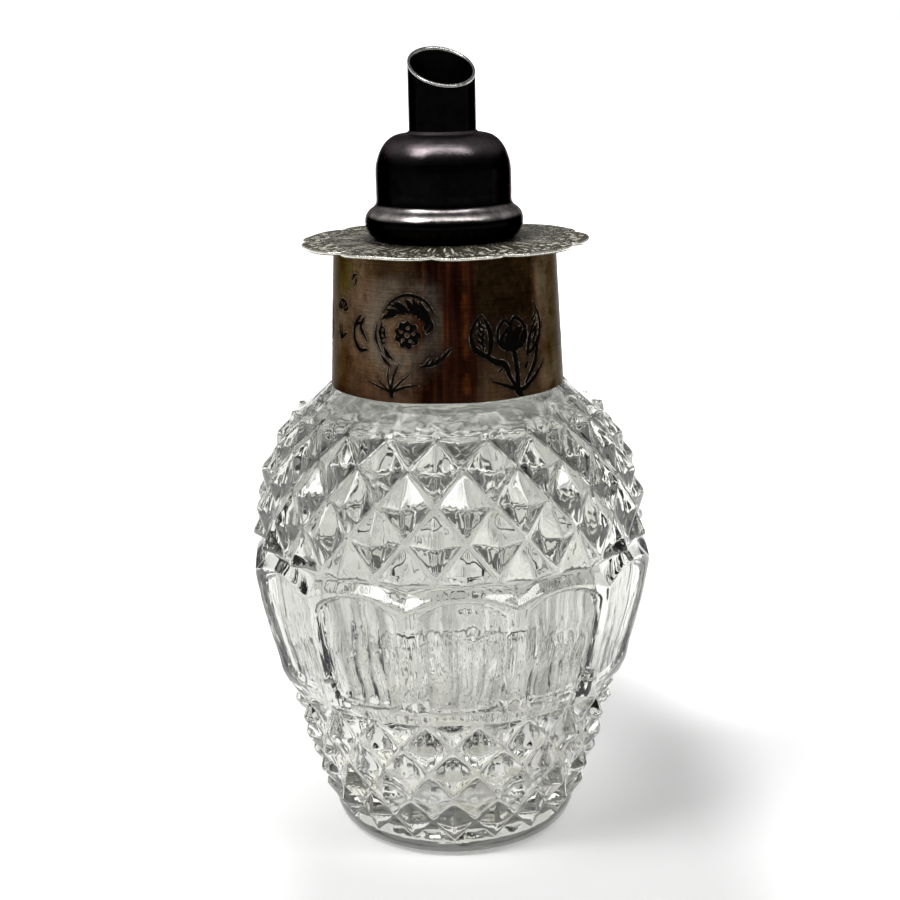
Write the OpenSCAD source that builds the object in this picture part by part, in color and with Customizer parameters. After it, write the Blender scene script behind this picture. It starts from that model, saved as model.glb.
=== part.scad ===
// Table oil cruet: pressed-glass bottle with a silver collar and a
// lift-out cork stopper that carries a slanted spout tube.
// Millimetres, +Z up, origin at the middle of the base.

/* [Bottle] */
// Height of the glass, from the base to the lip
lip_z = 116.2; // [115.6:0.1:116.2]
// Radius of the ring that the bottle stands on
foot_r = 20.4; // [19:0.2:21]
// Depth of the hollow under the base
kick_h = 0.9; // [0.4:0.1:2]
// Glass thickness under the oil chamber
floor_t = 7.5; // [6:0.5:10]
// Outer radius of the panels, across the corners at their widest
panel_r = 39.5; // [39:0.1:39.8]
// Outer radius of the glass neck inside the collar
neck_r = 17; // [16:0.5:18]
// Number of upright panels
panels = 12; // [12:1:12]

/* [Diamond bands] */
// Diamonds around the upper band
upper_n = 20; // [16:1:24]
// Diamonds around the lower band
lower_n = 19; // [16:1:24]
// Height of a diamond point over the grooves, upper band
upper_relief = 1.9; // [1:0.1:2]
// Height of a diamond point over the grooves, lower band
lower_relief = 2; // [1:0.1:2.4]

/* [Neck and cork] */
// Radius of the neck bore at the lip
bore_top_r = 12.05; // [11.8:0.05:12.2]
// Radius of the neck bore at its lower end
bore_low_r = 11.45; // [11.2:0.05:11.6]
// Height of the lower end of the neck bore
bore_low_z = 98; // [96:0.5:99]
// Radial gap between cork and glass
cork_gap = 0.05; // [0.03:0.01:0.1]

/* [Collar] */
// Outer radius of the sleeve at the bottom
sleeve_low_r = 22.45; // [22:0.05:23]
// Outer radius of the sleeve at the top
sleeve_top_r = 21.1; // [20.6:0.05:21.6]
// Height of the sleeve's lower edge
sleeve_low_z = 89.5; // [89:0.1:91]
// Sheet thickness of the sleeve
sleeve_t = 0.45; // [0.3:0.05:0.8]
// Radius of the flange at the tips of its lobes
flange_r = 27.4; // [26.5:0.1:28]
// Thickness of the flange
flange_t = 0.7; // [0.5:0.1:0.7]
// Radius of the hole in the flange
flange_hole_r = 12.6; // [12.4:0.1:12.8]

/* [Pourer] */
// Outer radius of the spout tube
tube_r = 6.3; // [6.3:0.1:6.3]
// Wall of the spout tube
tube_t = 0.5; // [0.4:0.05:0.8]
// Height of the slanted mouth on the tube's axis
mouth_z = 148.8; // [146:0.2:152]
// Slant of the mouth to the left, in degrees
mouth_tilt_x = 9.03; // [0:0.5:15]
// Slant of the mouth to the back, in degrees
mouth_tilt_y = 27.15; // [10:0.5:35]
// Sheet thickness of the cap
cap_t = 0.6; // [0.4:0.1:0.8]
// Height of the top of the cap
cap_top_z = 136.5; // [135:0.5:138]
// Radius of the cap's bead
bead_r = 15; // [14.4:0.1:15.4]

/* [Hidden] */
$fn = 96;

// heights that stack up
flange_z = lip_z + 0.1;              // underside of the flange
deck_z = flange_z + flange_t;        // top of the flange, and of the cork
play = 0.05;                         // gap where the pourer turns on the cork
base_z = deck_z + play;              // underside of the cap's disc
cork_low_z = bore_low_z;             // lower end of the cork

// angles are read from the front (-Y) towards the right (+X)
function pt(r, a, z) = [r * sin(a), -r * cos(a), z];

// upper band: groove crossings from the ledge up to the shoulder
up_z = [60.3, 67.4, 73.5, 79.5, 84.3];
up_r = [36.5, 36.3, 34.7, 31.9, 28.4];
up_a = -4.4;
// lower band: from the foot up to the ledge under the panels
lo_z = [3.6, 8, 13.4, 19.3, 25, 30.3];
lo_r = [23.7, 24.5, 26.6, 28.2, 29.9, 30.4];
lo_a = 4 - 90 / lower_n;
// first panel's middle
panel_a = 2.7;

// corner radius of the panels against height
panel_p = [[20, 30.2], [32, 33.9], [34.5, 35], [38, 35.75], [41, 36.6], [45, 37.6], [49.5, 38.6],
           [51.7, 38.95], [54, 39.35], [56, panel_r], [62, panel_r]];

// A closed solid whose side is a lattice of four-sided points.
// Row j has n groove crossings; every other row is turned by half a step.
// With lead = true the first row runs into a smooth foot as plain triangles;
// otherwise it holds upper half points. The last row holds lower halves.
// An open end slopes in to a plain ring, given as [height, radius].
module diamond_band(n, zs, rs, relief, a0, lead, low_ring, top_ring) {
    s = 360 / n;
    m = len(zs) - 1;
    t0 = (m + 1) * n;
    c0 = t0 + (m + 1) * n;
    function na(j, k) = a0 + (j % 2) * s / 2 + s * k;
    function nd(j, k) = j * n + (k + n) % n;
    function tp(j, k) = t0 + j * n + (k + n) % n;
    function mid(j, k) = j % 2 == 0 ? k : k + 1;
    // i counts crossings and tips in turn along the edge of a row
    function edge(j, i) = i % 2 == 0 ? nd(j, i / 2) : tp(j, floor(i / 2));
    nodes = [for (j = [0:m], k = [0:n-1]) pt(rs[j], na(j, k), zs[j])];
    tips = [for (j = [0:m], k = [0:n-1]) pt(rs[j] + relief, na(j, k) + s / 2, zs[j])];
    top_c = [for (i = [0:2*n-1]) pt(top_ring[1], na(m, 0) + s / 2 * i, top_ring[0])];
    low_c = [for (i = [0:2*n-1]) pt(low_ring[1], na(0, 0) + s / 2 * i, low_ring[0])];
    l0 = c0 + 2 * n;
    function tc(i) = c0 + i % (2 * n);
    function lc(i) = l0 + i % (2 * n);
    upper = [for (j = [lead ? 1 : 0:m-1], k = [0:n-1])
        each [[nd(j + 1, mid(j, k)), nd(j, k + 1), tp(j, k)], [nd(j, k), nd(j + 1, mid(j, k)), tp(j, k)]]];
    lower = [for (j = [1:m], k = [0:n-1])
        each [[nd(j, k + 1), nd(j - 1, mid(j, k)), tp(j, k)], [nd(j - 1, mid(j, k)), nd(j, k), tp(j, k)]]];
    feet = lead ? [for (k = [0:n-1]) [nd(1, k), nd(0, k + 1), nd(0, k)]] : [];
    top = [for (i = [0:2*n-1]) each [[edge(m, i), tc(i), tc(i + 1)], [edge(m, i), tc(i + 1), edge(m, (i + 1) % (2 * n))]]];
    low = lead ? [] : [for (i = [0:2*n-1]) each [[lc(i), edge(0, i), edge(0, (i + 1) % (2 * n))],
        [lc(i), edge(0, (i + 1) % (2 * n)), lc(i + 1)]]];
    caps = [[for (i = [2*n-1:-1:0]) tc(i)], lead ? [for (k = [0:n-1]) nd(0, k)] : [for (i = [0:2*n-1]) lc(i)]];
    // the first row's tips and the lower ring are only there without a lead
    skip = lead ? n : 0;
    polyhedron(points = concat(nodes, [for (i = [skip:len(tips)-1]) tips[i]], top_c, lead ? [] : low_c),
               faces = [for (f = concat(upper, lower, feet, top, low, caps)) [for (i = f) i >= t0 ? i - skip : i]],
               convexity = 10);
}

// one pair of opposite panels: flat across, bowed from top to bottom
module panel_pair(a) {
    c = cos(180 / panels);
    rotate([0, 0, a - 90]) rotate([90, 0, 0])
        linear_extrude(height = 110, center = true)
            polygon(concat([for (p = panel_p) [p[1] * c, p[0]]],
                           [for (i = [len(panel_p)-1:-1:0]) [-panel_p[i][1] * c, panel_p[i][0]]]));
}

// panel zone: six crossed pairs, trimmed to the two sloping ledges
module panel_zone() {
    intersection() {
        panel_pair(panel_a);
        panel_pair(panel_a + 30);
        panel_pair(panel_a + 60);
        panel_pair(panel_a + 90);
        panel_pair(panel_a + 120);
        panel_pair(panel_a + 150);
        rotate_extrude() polygon([[0, 28.2], [28.8, 28.2], [30.75, 30.1], [30.85, 30.7], [33.2, 31.5],
            [35.4, 32.7], [46, 42], [46, 51], [39.9, 56], [38, 58.5], [36.95, 59.8], [36.75, 60.6], [34.5, 62.8],
            [0, 62.8]]);
    }
}

// smooth round foot with a soft heel
module foot() {
    rotate_extrude() polygon([[0, 0], [foot_r, 0], [foot_r + 1.3, 0.4], [foot_r + 2.5, 1.3],
        [foot_r + 3.3, 2.6], [foot_r + 3.7, 4.2], [foot_r + 3.4, 5.6], [foot_r + 2.2, 6.6], [0, 6.6]]);
}

// shoulder flare and neck with its thickened lip
module neck_outer() {
    rotate_extrude() polygon([[0, 82], [29.3, 83.6], [28.75, 84.25], [27.9, 84.9], [26.6, 86], [25.2, 87.2],
        [23.9, 88.3], [22.9, 89.1], [22.2, sleeve_low_z], [neck_r + 1.2, sleeve_low_z + 1], [neck_r + 0.4, sleeve_low_z + 2],
        [neck_r, sleeve_low_z + 3.4], [neck_r, lip_z - 5], [neck_r + 1, lip_z - 4], [neck_r + 1.2, lip_z - 2.2],
        [neck_r + 0.9, lip_z - 0.6], [neck_r + 0.3, lip_z], [0, lip_z]]);
}

// hollow for the oil, with the tapered bore that takes the cork
module oil_hollow() {
    rotate_extrude() polygon([[0, floor_t], [12, floor_t + 0.2], [16.5, floor_t + 1.2], [19.3, floor_t + 3.2],
        [21.4, 14], [24.2, 20], [26.5, 26], [28.6, 31], [31, 37], [33, 45], [34, 52], [33.8, 58], [33, 64],
        [31.6, 70], [29.4, 75.5], [26.5, 80], [22.6, 84.2], [18.6, 88], [15.2, 91.6], [12.8, 94.8],
        [bore_low_r, bore_low_z], [bore_top_r, lip_z], [bore_top_r, lip_z + 5], [0, lip_z + 5]]);
}

module glass_bottle() {
    color([0.86, 0.89, 0.87, 0.5]) difference() {
        union() {
            foot();
            diamond_band(lower_n, lo_z, lo_r, lower_relief, lo_a, true, [0, 0], [31.4, 29.9]);
            panel_zone();
            diamond_band(upper_n, up_z, up_r, upper_relief, up_a, false, [59.2, 35.8], [85.1, 26.2]);
            neck_outer();
        }
        oil_hollow();
        // shallow dish under the base, so that it stands on a ring
        rotate_extrude() polygon([[0, -1], [foot_r - 2.6, -1], [foot_r - 2.6, 0], [foot_r - 4, kick_h * 0.7],
            [foot_r - 8, kick_h], [0, kick_h]]);
    }
}

function sleeve_at(z) = sleeve_low_r + (sleeve_top_r - sleeve_low_r) * (z - sleeve_low_z) / (flange_z - sleeve_low_z);

module neck_bedding() {
    color([0.85, 0.83, 0.77]) difference() {
        rotate_extrude() polygon([[10, sleeve_low_z + 0.3], [sleeve_at(sleeve_low_z + 0.3) - sleeve_t, sleeve_low_z + 0.3],
            [sleeve_at(lip_z - 1) - sleeve_t, lip_z - 1], [10, lip_z - 1]]);
        neck_outer();
    }
}

module collar_sleeve() {
    color([0.42, 0.37, 0.29]) rotate_extrude()
        polygon([[sleeve_low_r - sleeve_t, sleeve_low_z], [sleeve_low_r, sleeve_low_z],
            [sleeve_top_r, flange_z], [sleeve_top_r - sleeve_t, flange_z]]);
}

// hand-cut edge: nine lobes, none quite the same width
notches = [-88, -47, -5, 24, 64, 104, 146, 189, 231, 272];
notch_d = 1.7;
function lobe(a, i = 0) = a < notches[i + 1] ? (a - notches[i]) / (notches[i + 1] - notches[i]) : lobe(a, i + 1);
function flange_edge(a) = flange_r - notch_d * pow(abs(2 * lobe(a) - 1), 5);

module flange_plate() {
    color([0.47, 0.46, 0.38]) translate([0, 0, flange_z]) linear_extrude(height = flange_t) difference() {
        polygon([for (i = [0:179]) let (a = -88 + 2 * i) [flange_edge(a) * sin(a), -flange_edge(a) * cos(a)]]);
        circle(r = flange_hole_r);
    }
}

module flange_solder() {
    color([0.5, 0.48, 0.44]) difference() {
        translate([0, 0, flange_z - 0.6]) cylinder(h = 0.6, r1 = sleeve_top_r + 0.04, r2 = sleeve_top_r + 0.6);
        rotate_extrude() polygon([[0, flange_z - 3], [sleeve_at(flange_z - 3), flange_z - 3],
            [sleeve_top_r, flange_z], [sleeve_top_r, flange_z + 1], [0, flange_z + 1]]);
    }
}

function bore_at(z) = bore_low_r + (bore_top_r - bore_low_r) * (z - bore_low_z) / (lip_z - bore_low_z);

module cork_stopper() {
    color([0.66, 0.49, 0.31]) rotate_extrude()
        polygon([[tube_r + play, cork_low_z], [bore_at(cork_low_z) - cork_gap - 0.6, cork_low_z],
            [bore_at(cork_low_z + 0.6) - cork_gap, cork_low_z + 0.6],
            [bore_at(deck_z) - cork_gap, deck_z], [tube_r + play, deck_z]]);
}

// outside of the spun cap, from the bead up to the tube
cap_out = [[13.3, base_z], [14.2, base_z + 1], [14.8, base_z + 2.2], [bead_r, base_z + 3.4], [bead_r - 0.25, base_z + 4.5],
    [bead_r - 0.9, base_z + 5.4], [13.3, base_z + 6], [12.85, base_z + 6.8], [12.8, base_z + 9], [12.7, 130.6],
    [12.35, 132], [11.75, 133.5], [10.8, 134.9], [9.4, 136], [7.9, cap_top_z - 0.05], [tube_r, cap_top_z]];
module pourer_cap() {
    n = len(cap_out);
    // the inside follows the outside one sheet thickness in
    inner = [for (i = [n-1:-1:0]) let (p = cap_out[i],
        q = i == 0 ? cap_out[1] - cap_out[0] : i == n - 1 ? [-1, 0] : cap_out[i + 1] - cap_out[i - 1],
        l = norm(q), m = [-q[1], q[0]] / l)
        i == n - 1 ? [tube_r, cap_top_z - cap_t] : i == 0 ? [13.3 - cap_t, base_z] : [p[0] + m[0] * cap_t, p[1] + m[1] * cap_t]];
    color([0.13, 0.12, 0.12]) rotate_extrude() polygon(concat(cap_out, inner));
}

module cap_base() {
    color([0.2, 0.19, 0.18]) translate([0, 0, base_z]) difference() {
        cylinder(h = 0.6, r = 13.3 - cap_t - 0.02);
        translate([0, 0, -1]) cylinder(h = 3, r = tube_r);
    }
}

module spout_tube() {
    color([0.1, 0.09, 0.09]) difference() {
        union() {
            translate([0, 0, cork_low_z - 2]) cylinder(h = mouth_z + 8 - cork_low_z, r = tube_r);
            // lip turned over the washer
            translate([0, 0, cork_low_z - 2]) cylinder(h = 0.8, r = tube_r + 1.3);
        }
        translate([0, 0, cork_low_z - 3]) cylinder(h = mouth_z + 20 - cork_low_z, r = tube_r - tube_t);
        translate([0, 0, mouth_z]) rotate([0, mouth_tilt_x, 0]) rotate([mouth_tilt_y, 0, 0])
            translate([-30, -30, 0]) cube([60, 60, 30]);
    }
}

module solder_ring(z, h, w) {
    translate([0, 0, z]) difference() {
        cylinder(h = h, r1 = tube_r + w, r2 = tube_r + 0.05);
        translate([0, 0, -1]) cylinder(h = h + 2, r = tube_r);
    }
}
module tube_solder() { color([0.22, 0.21, 0.2]) solder_ring(cap_top_z, 0.5, 0.6); }
module base_solder() { color([0.5, 0.49, 0.46]) solder_ring(base_z + 0.6, 0.7, 0.8); }

module end_washer() {
    color([0.55, 0.5, 0.38]) translate([0, 0, cork_low_z - 1.2]) difference() {
        cylinder(h = 1.15, r = 9.6);
        translate([0, 0, -1]) cylinder(h = 4, r = tube_r);
    }
}

glass_bottle();
neck_bedding();
collar_sleeve();
flange_plate();
flange_solder();
cork_stopper();
pourer_cap();
cap_base();
spout_tube();
tube_solder();
base_solder();
end_washer();
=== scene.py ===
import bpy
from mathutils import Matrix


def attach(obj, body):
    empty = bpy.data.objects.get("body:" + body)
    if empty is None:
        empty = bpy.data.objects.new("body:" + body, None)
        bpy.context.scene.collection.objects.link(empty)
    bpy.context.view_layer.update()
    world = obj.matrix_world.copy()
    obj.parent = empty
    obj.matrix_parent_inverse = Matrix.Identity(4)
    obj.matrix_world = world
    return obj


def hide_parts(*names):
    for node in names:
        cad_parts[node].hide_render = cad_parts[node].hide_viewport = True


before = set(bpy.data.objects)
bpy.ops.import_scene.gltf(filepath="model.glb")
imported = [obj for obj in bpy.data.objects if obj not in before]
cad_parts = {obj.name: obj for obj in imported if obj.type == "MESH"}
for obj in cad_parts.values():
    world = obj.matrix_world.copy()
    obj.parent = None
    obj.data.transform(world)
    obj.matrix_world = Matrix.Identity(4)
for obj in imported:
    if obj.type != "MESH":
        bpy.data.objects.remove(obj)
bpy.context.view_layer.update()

import math

import bpy
import numpy as np
from mathutils import Matrix, Vector

MM = 0.001
TAU = 2 * math.pi


# ------------------------------------------------------------------ helpers
def pol(r, a, z):
    """Cylinder place in mm: a in degrees from the front (-Y) towards the right (+X)."""
    t = np.radians(a)
    return np.stack([r * np.sin(t), -r * np.cos(t), z + 0 * r * t], -1)


def spline(xs, ys, x):
    """Smooth curve through points with no overshoot (monotone cubic)."""
    xs, ys, x = np.asarray(xs, float), np.asarray(ys, float), np.asarray(x, float)
    h = np.diff(xs)
    d = np.diff(ys) / h
    m = np.zeros_like(ys)
    m[0], m[-1] = d[0], d[-1]
    for i in range(1, len(xs) - 1):
        if d[i - 1] * d[i] > 0:
            w1, w2 = 2 * h[i] + h[i - 1], h[i] + 2 * h[i - 1]
            m[i] = (w1 + w2) / (w1 / d[i - 1] + w2 / d[i])
    k = np.clip(np.searchsorted(xs, x, side="right") - 1, 0, len(h) - 1)
    t = np.clip((x - xs[k]) / h[k], 0, 1)
    a, b = 2 * t**3 - 3 * t**2 + 1, t**3 - 2 * t**2 + t
    c, e = -2 * t**3 + 3 * t**2, t**3 - t**2
    return a * ys[k] + b * h[k] * m[k] + c * ys[k + 1] + e * h[k] * m[k + 1]


def curve_points(pts, n):
    """n points, evenly spread along a smooth curve through pts (2-D or 3-D), centripetal Catmull-Rom."""
    p = np.asarray(pts, float)
    p = np.vstack([2 * p[0] - p[1], p, 2 * p[-1] - p[-2]])
    out = []
    for i in range(1, len(p) - 2):
        p0, p1, p2, p3 = p[i - 1 : i + 3]
        t0 = 0.0
        t1 = t0 + max(np.linalg.norm(p1 - p0), 1e-9) ** 0.5
        t2 = t1 + max(np.linalg.norm(p2 - p1), 1e-9) ** 0.5
        t3 = t2 + max(np.linalg.norm(p3 - p2), 1e-9) ** 0.5
        t = np.linspace(t1, t2, 24, endpoint=False)[:, None]
        a1 = (t1 - t) / (t1 - t0) * p0 + (t - t0) / (t1 - t0) * p1
        a2 = (t2 - t) / (t2 - t1) * p1 + (t - t1) / (t2 - t1) * p2
        a3 = (t3 - t) / (t3 - t2) * p2 + (t - t2) / (t3 - t2) * p3
        b1 = (t2 - t) / (t2 - t0) * a1 + (t - t0) / (t2 - t0) * a2
        b2 = (t3 - t) / (t3 - t1) * a2 + (t - t1) / (t3 - t1) * a3
        out.append((t2 - t) / (t2 - t1) * b1 + (t - t1) / (t2 - t1) * b2)
    q = np.vstack(out + [p[-2][None]])
    s = np.concatenate([[0], np.cumsum(np.linalg.norm(np.diff(q, axis=0), axis=1))])
    u = np.linspace(0, s[-1], n)
    return np.stack([np.interp(u, s, q[:, j]) for j in range(q.shape[1])], -1)


class Shell:
    """Collects points (mm) and faces, welds them and makes a Blender mesh."""

    def __init__(self):
        self.v, self.f, self.m, self.n, self.mark = [], [], [], 0, []

    def add(self, pts, mark=9.0):
        pts = np.asarray(pts, float).reshape(-1, 3)
        self.v.append(pts)
        self.mark.append(np.zeros(len(pts)) + mark)
        k = self.n
        self.n += len(pts)
        return np.arange(k, self.n)

    def face(self, *ids, mat=0):
        self.f.append(tuple(int(i) for i in ids))
        self.m.append(mat)

    def band(self, a, b, mat=0, close=True, flip=False):
        """Quads between ring a (lower) and ring b (upper), both counter-clockwise seen from above."""
        n = len(a)
        for i in range(n if close else n - 1):
            j = (i + 1) % n
            q = (a[i], a[j], b[j], b[i])
            self.face(*(q[::-1] if flip else q), mat=mat)

    def zip(self, a, aa, b, ba, mat=0, flip=False):
        """Triangles between two closed rings of different counts. aa and ba are their rising angles in degrees."""
        na, nb = len(a), len(b)
        am = np.asarray(aa) + np.diff(np.append(aa, aa[0] + 360)) / 2
        bm = np.asarray(ba) + np.diff(np.append(ba, ba[0] + 360)) / 2
        start = min(aa[0], ba[0]) - 1
        ev = sorted([((m - start) % 360, 0, i) for i, m in enumerate(am)] + [((m - start) % 360, 1, i) for i, m in enumerate(bm)])
        ia = ev and next(i for t, w, i in ev if w == 0)
        ib = next(i for t, w, i in ev if w == 1)
        for t, w, i in ev:
            if w == 0:
                q = (a[i], a[(i + 1) % na], b[ib])
                ia = (i + 1) % na
            else:
                q = (a[ia], b[(i + 1) % nb], b[i])
                ib = (i + 1) % nb
            self.face(*(q[::-1] if flip else q), mat=mat)

    def mesh(self, name, mats, smooth=True, weld=1e-4):
        v = np.vstack(self.v)
        q = np.round(v / weld).astype(np.int64)
        u, first, inv = np.unique(q, axis=0, return_index=True, return_inverse=True)
        inv = inv.ravel()
        faces, fm = [], []
        for f, m in zip(self.f, self.m):
            g = []
            for i in f:
                k = int(inv[i])
                if k not in g:
                    g.append(k)
            if len(g) >= 3:
                faces.append(g)
                fm.append(m)
        used = np.unique([k for f in faces for k in f])
        new = np.full(len(first), -1)
        new[used] = np.arange(len(used))
        faces = [[int(new[k]) for k in f] for f in faces]
        first = first[used]
        me = bpy.data.meshes.new(name)
        me.from_pydata((v[first] * MM).tolist(), [], faces)
        me.validate()
        for mt in mats:
            me.materials.append(mt)
        if len(me.polygons) == len(fm):
            me.polygons.foreach_set("material_index", fm)
        me.polygons.foreach_set("use_smooth", [smooth] * len(me.polygons))
        mark = np.concatenate(self.mark)[first]
        if mark.min() < 9:
            at = me.attributes.new("mark", "FLOAT", "POINT")
            at.data.foreach_set("value", mark.astype(np.float32))
        me.update()
        ob = bpy.data.objects.new(name, me)
        bpy.context.scene.collection.objects.link(ob)
        return ob


def lathe(name, prof, n, mats, closed=True, mat=0, wob=None, a0=0.0):
    """A turned piece. prof is a list of (r, z) in mm, run so that the outside is on the right of the way (upwards on the outside)."""
    s = Shell()
    ang = a0 + np.arange(n) * 360 / n
    rings = []
    for r, z in prof:
        rr = np.full(n, float(r))
        zz = np.full(n, float(z))
        if wob is not None and r > 0:
            rr, zz = wob(ang, rr, zz)
        rings.append(s.add(pol(rr, ang, zz)))
    k = len(rings)
    for i in range(k if closed else k - 1):
        s.band(rings[i], rings[(i + 1) % k], mat=mat)
    return s.mesh(name, mats)


# ---------------------------------------------------------------- materials
def material(name):
    m = bpy.data.materials.new(name)
    m.use_nodes = True
    nt = m.node_tree
    nt.nodes.clear()
    out = nt.nodes.new("ShaderNodeOutputMaterial")
    b = nt.nodes.new("ShaderNodeBsdfPrincipled")
    nt.links.new(b.outputs[0], out.inputs[0])
    return m, nt, b


class G:
    """Short names for building node graphs."""

    def __init__(self, nt):
        self.nt = nt

    def n(self, kind, **props):
        x = self.nt.nodes.new(kind)
        for k, v in props.items():
            setattr(x, k, v)
        return x

    def link(self, a, b):
        self.nt.links.new(a, b)

    def put(self, sock, val):
        if hasattr(val, "is_output") or isinstance(val, bpy.types.NodeSocket):
            self.link(val, sock)
        else:
            sock.default_value = val

    def math(self, op, a, b=0.0, c=None, clamp=False):
        x = self.n("ShaderNodeMath", operation=op, use_clamp=clamp)
        self.put(x.inputs[0], a)
        self.put(x.inputs[1], b)
        if c is not None:
            self.put(x.inputs[2], c)
        return x.outputs[0]

    def coords(self):
        return self.n("ShaderNodeTexCoord").outputs["Object"]

    def xyz(self, v):
        x = self.n("ShaderNodeSeparateXYZ")
        self.link(v, x.inputs[0])
        return x.outputs

    def vec(self, x, y, z):
        c = self.n("ShaderNodeCombineXYZ")
        for s, v in zip(c.inputs, (x, y, z)):
            self.put(s, v)
        return c.outputs[0]

    def mapped(self, v, scale=(1, 1, 1), loc=(0, 0, 0), rot=(0, 0, 0)):
        m = self.n("ShaderNodeMapping")
        self.link(v, m.inputs["Vector"])
        m.inputs["Scale"].default_value = scale
        m.inputs["Location"].default_value = loc
        m.inputs["Rotation"].default_value = rot
        return m.outputs[0]

    def noise(self, v, scale, detail=3.0, rough=0.55, dist=0.0):
        x = self.n("ShaderNodeTexNoise")
        self.link(v, x.inputs["Vector"])
        x.inputs["Scale"].default_value = scale
        x.inputs["Detail"].default_value = detail
        x.inputs["Roughness"].default_value = rough
        x.inputs["Distortion"].default_value = dist
        return x.outputs["Fac"]

    def voronoi(self, v, scale, feature="F1", rnd=1.0, out="Distance"):
        x = self.n("ShaderNodeTexVoronoi", feature=feature)
        self.link(v, x.inputs["Vector"])
        x.inputs["Scale"].default_value = scale
        x.inputs["Randomness"].default_value = rnd
        return x.outputs[out]

    def ramp(self, fac, stops, interp="LINEAR"):
        x = self.n("ShaderNodeValToRGB")
        x.color_ramp.interpolation = interp
        e = x.color_ramp.elements
        while len(e) > 1:
            e.remove(e[-1])
        for i, (p, c) in enumerate(stops):
            q = e[0] if i == 0 else e.new(p)
            q.position = p
            q.color = tuple(c) + ((1.0,) if len(c) == 3 else ())
        self.link(fac, x.inputs[0])
        return x.outputs[0]

    def span(self, fac, a, b, lo=0.0, hi=1.0, smooth=False):
        x = self.n("ShaderNodeMapRange")
        x.clamp = True
        if smooth:
            x.interpolation_type = "SMOOTHSTEP"
        self.put(x.inputs[0], fac)
        for i, v in zip((1, 2, 3, 4), (a, b, lo, hi)):
            self.put(x.inputs[i], v)
        return x.outputs[0]

    def mix(self, fac, a, b, blend="MIX"):
        x = self.n("ShaderNodeMix", data_type="RGBA", blend_type=blend)
        self.put(x.inputs["Factor"], fac)
        self.put(x.inputs[6], a if not isinstance(a, tuple) or len(a) == 4 else a + (1.0,))
        self.put(x.inputs[7], b if not isinstance(b, tuple) or len(b) == 4 else b + (1.0,))
        return x.outputs[2]

    def bump(self, h, strength=0.3, dist=0.0002, normal=None):
        x = self.n("ShaderNodeBump")
        x.inputs["Strength"].default_value = strength
        x.inputs["Distance"].default_value = dist
        self.link(h, x.inputs["Height"])
        if normal is not None:
            self.link(normal, x.inputs["Normal"])
        return x.outputs[0]


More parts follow.
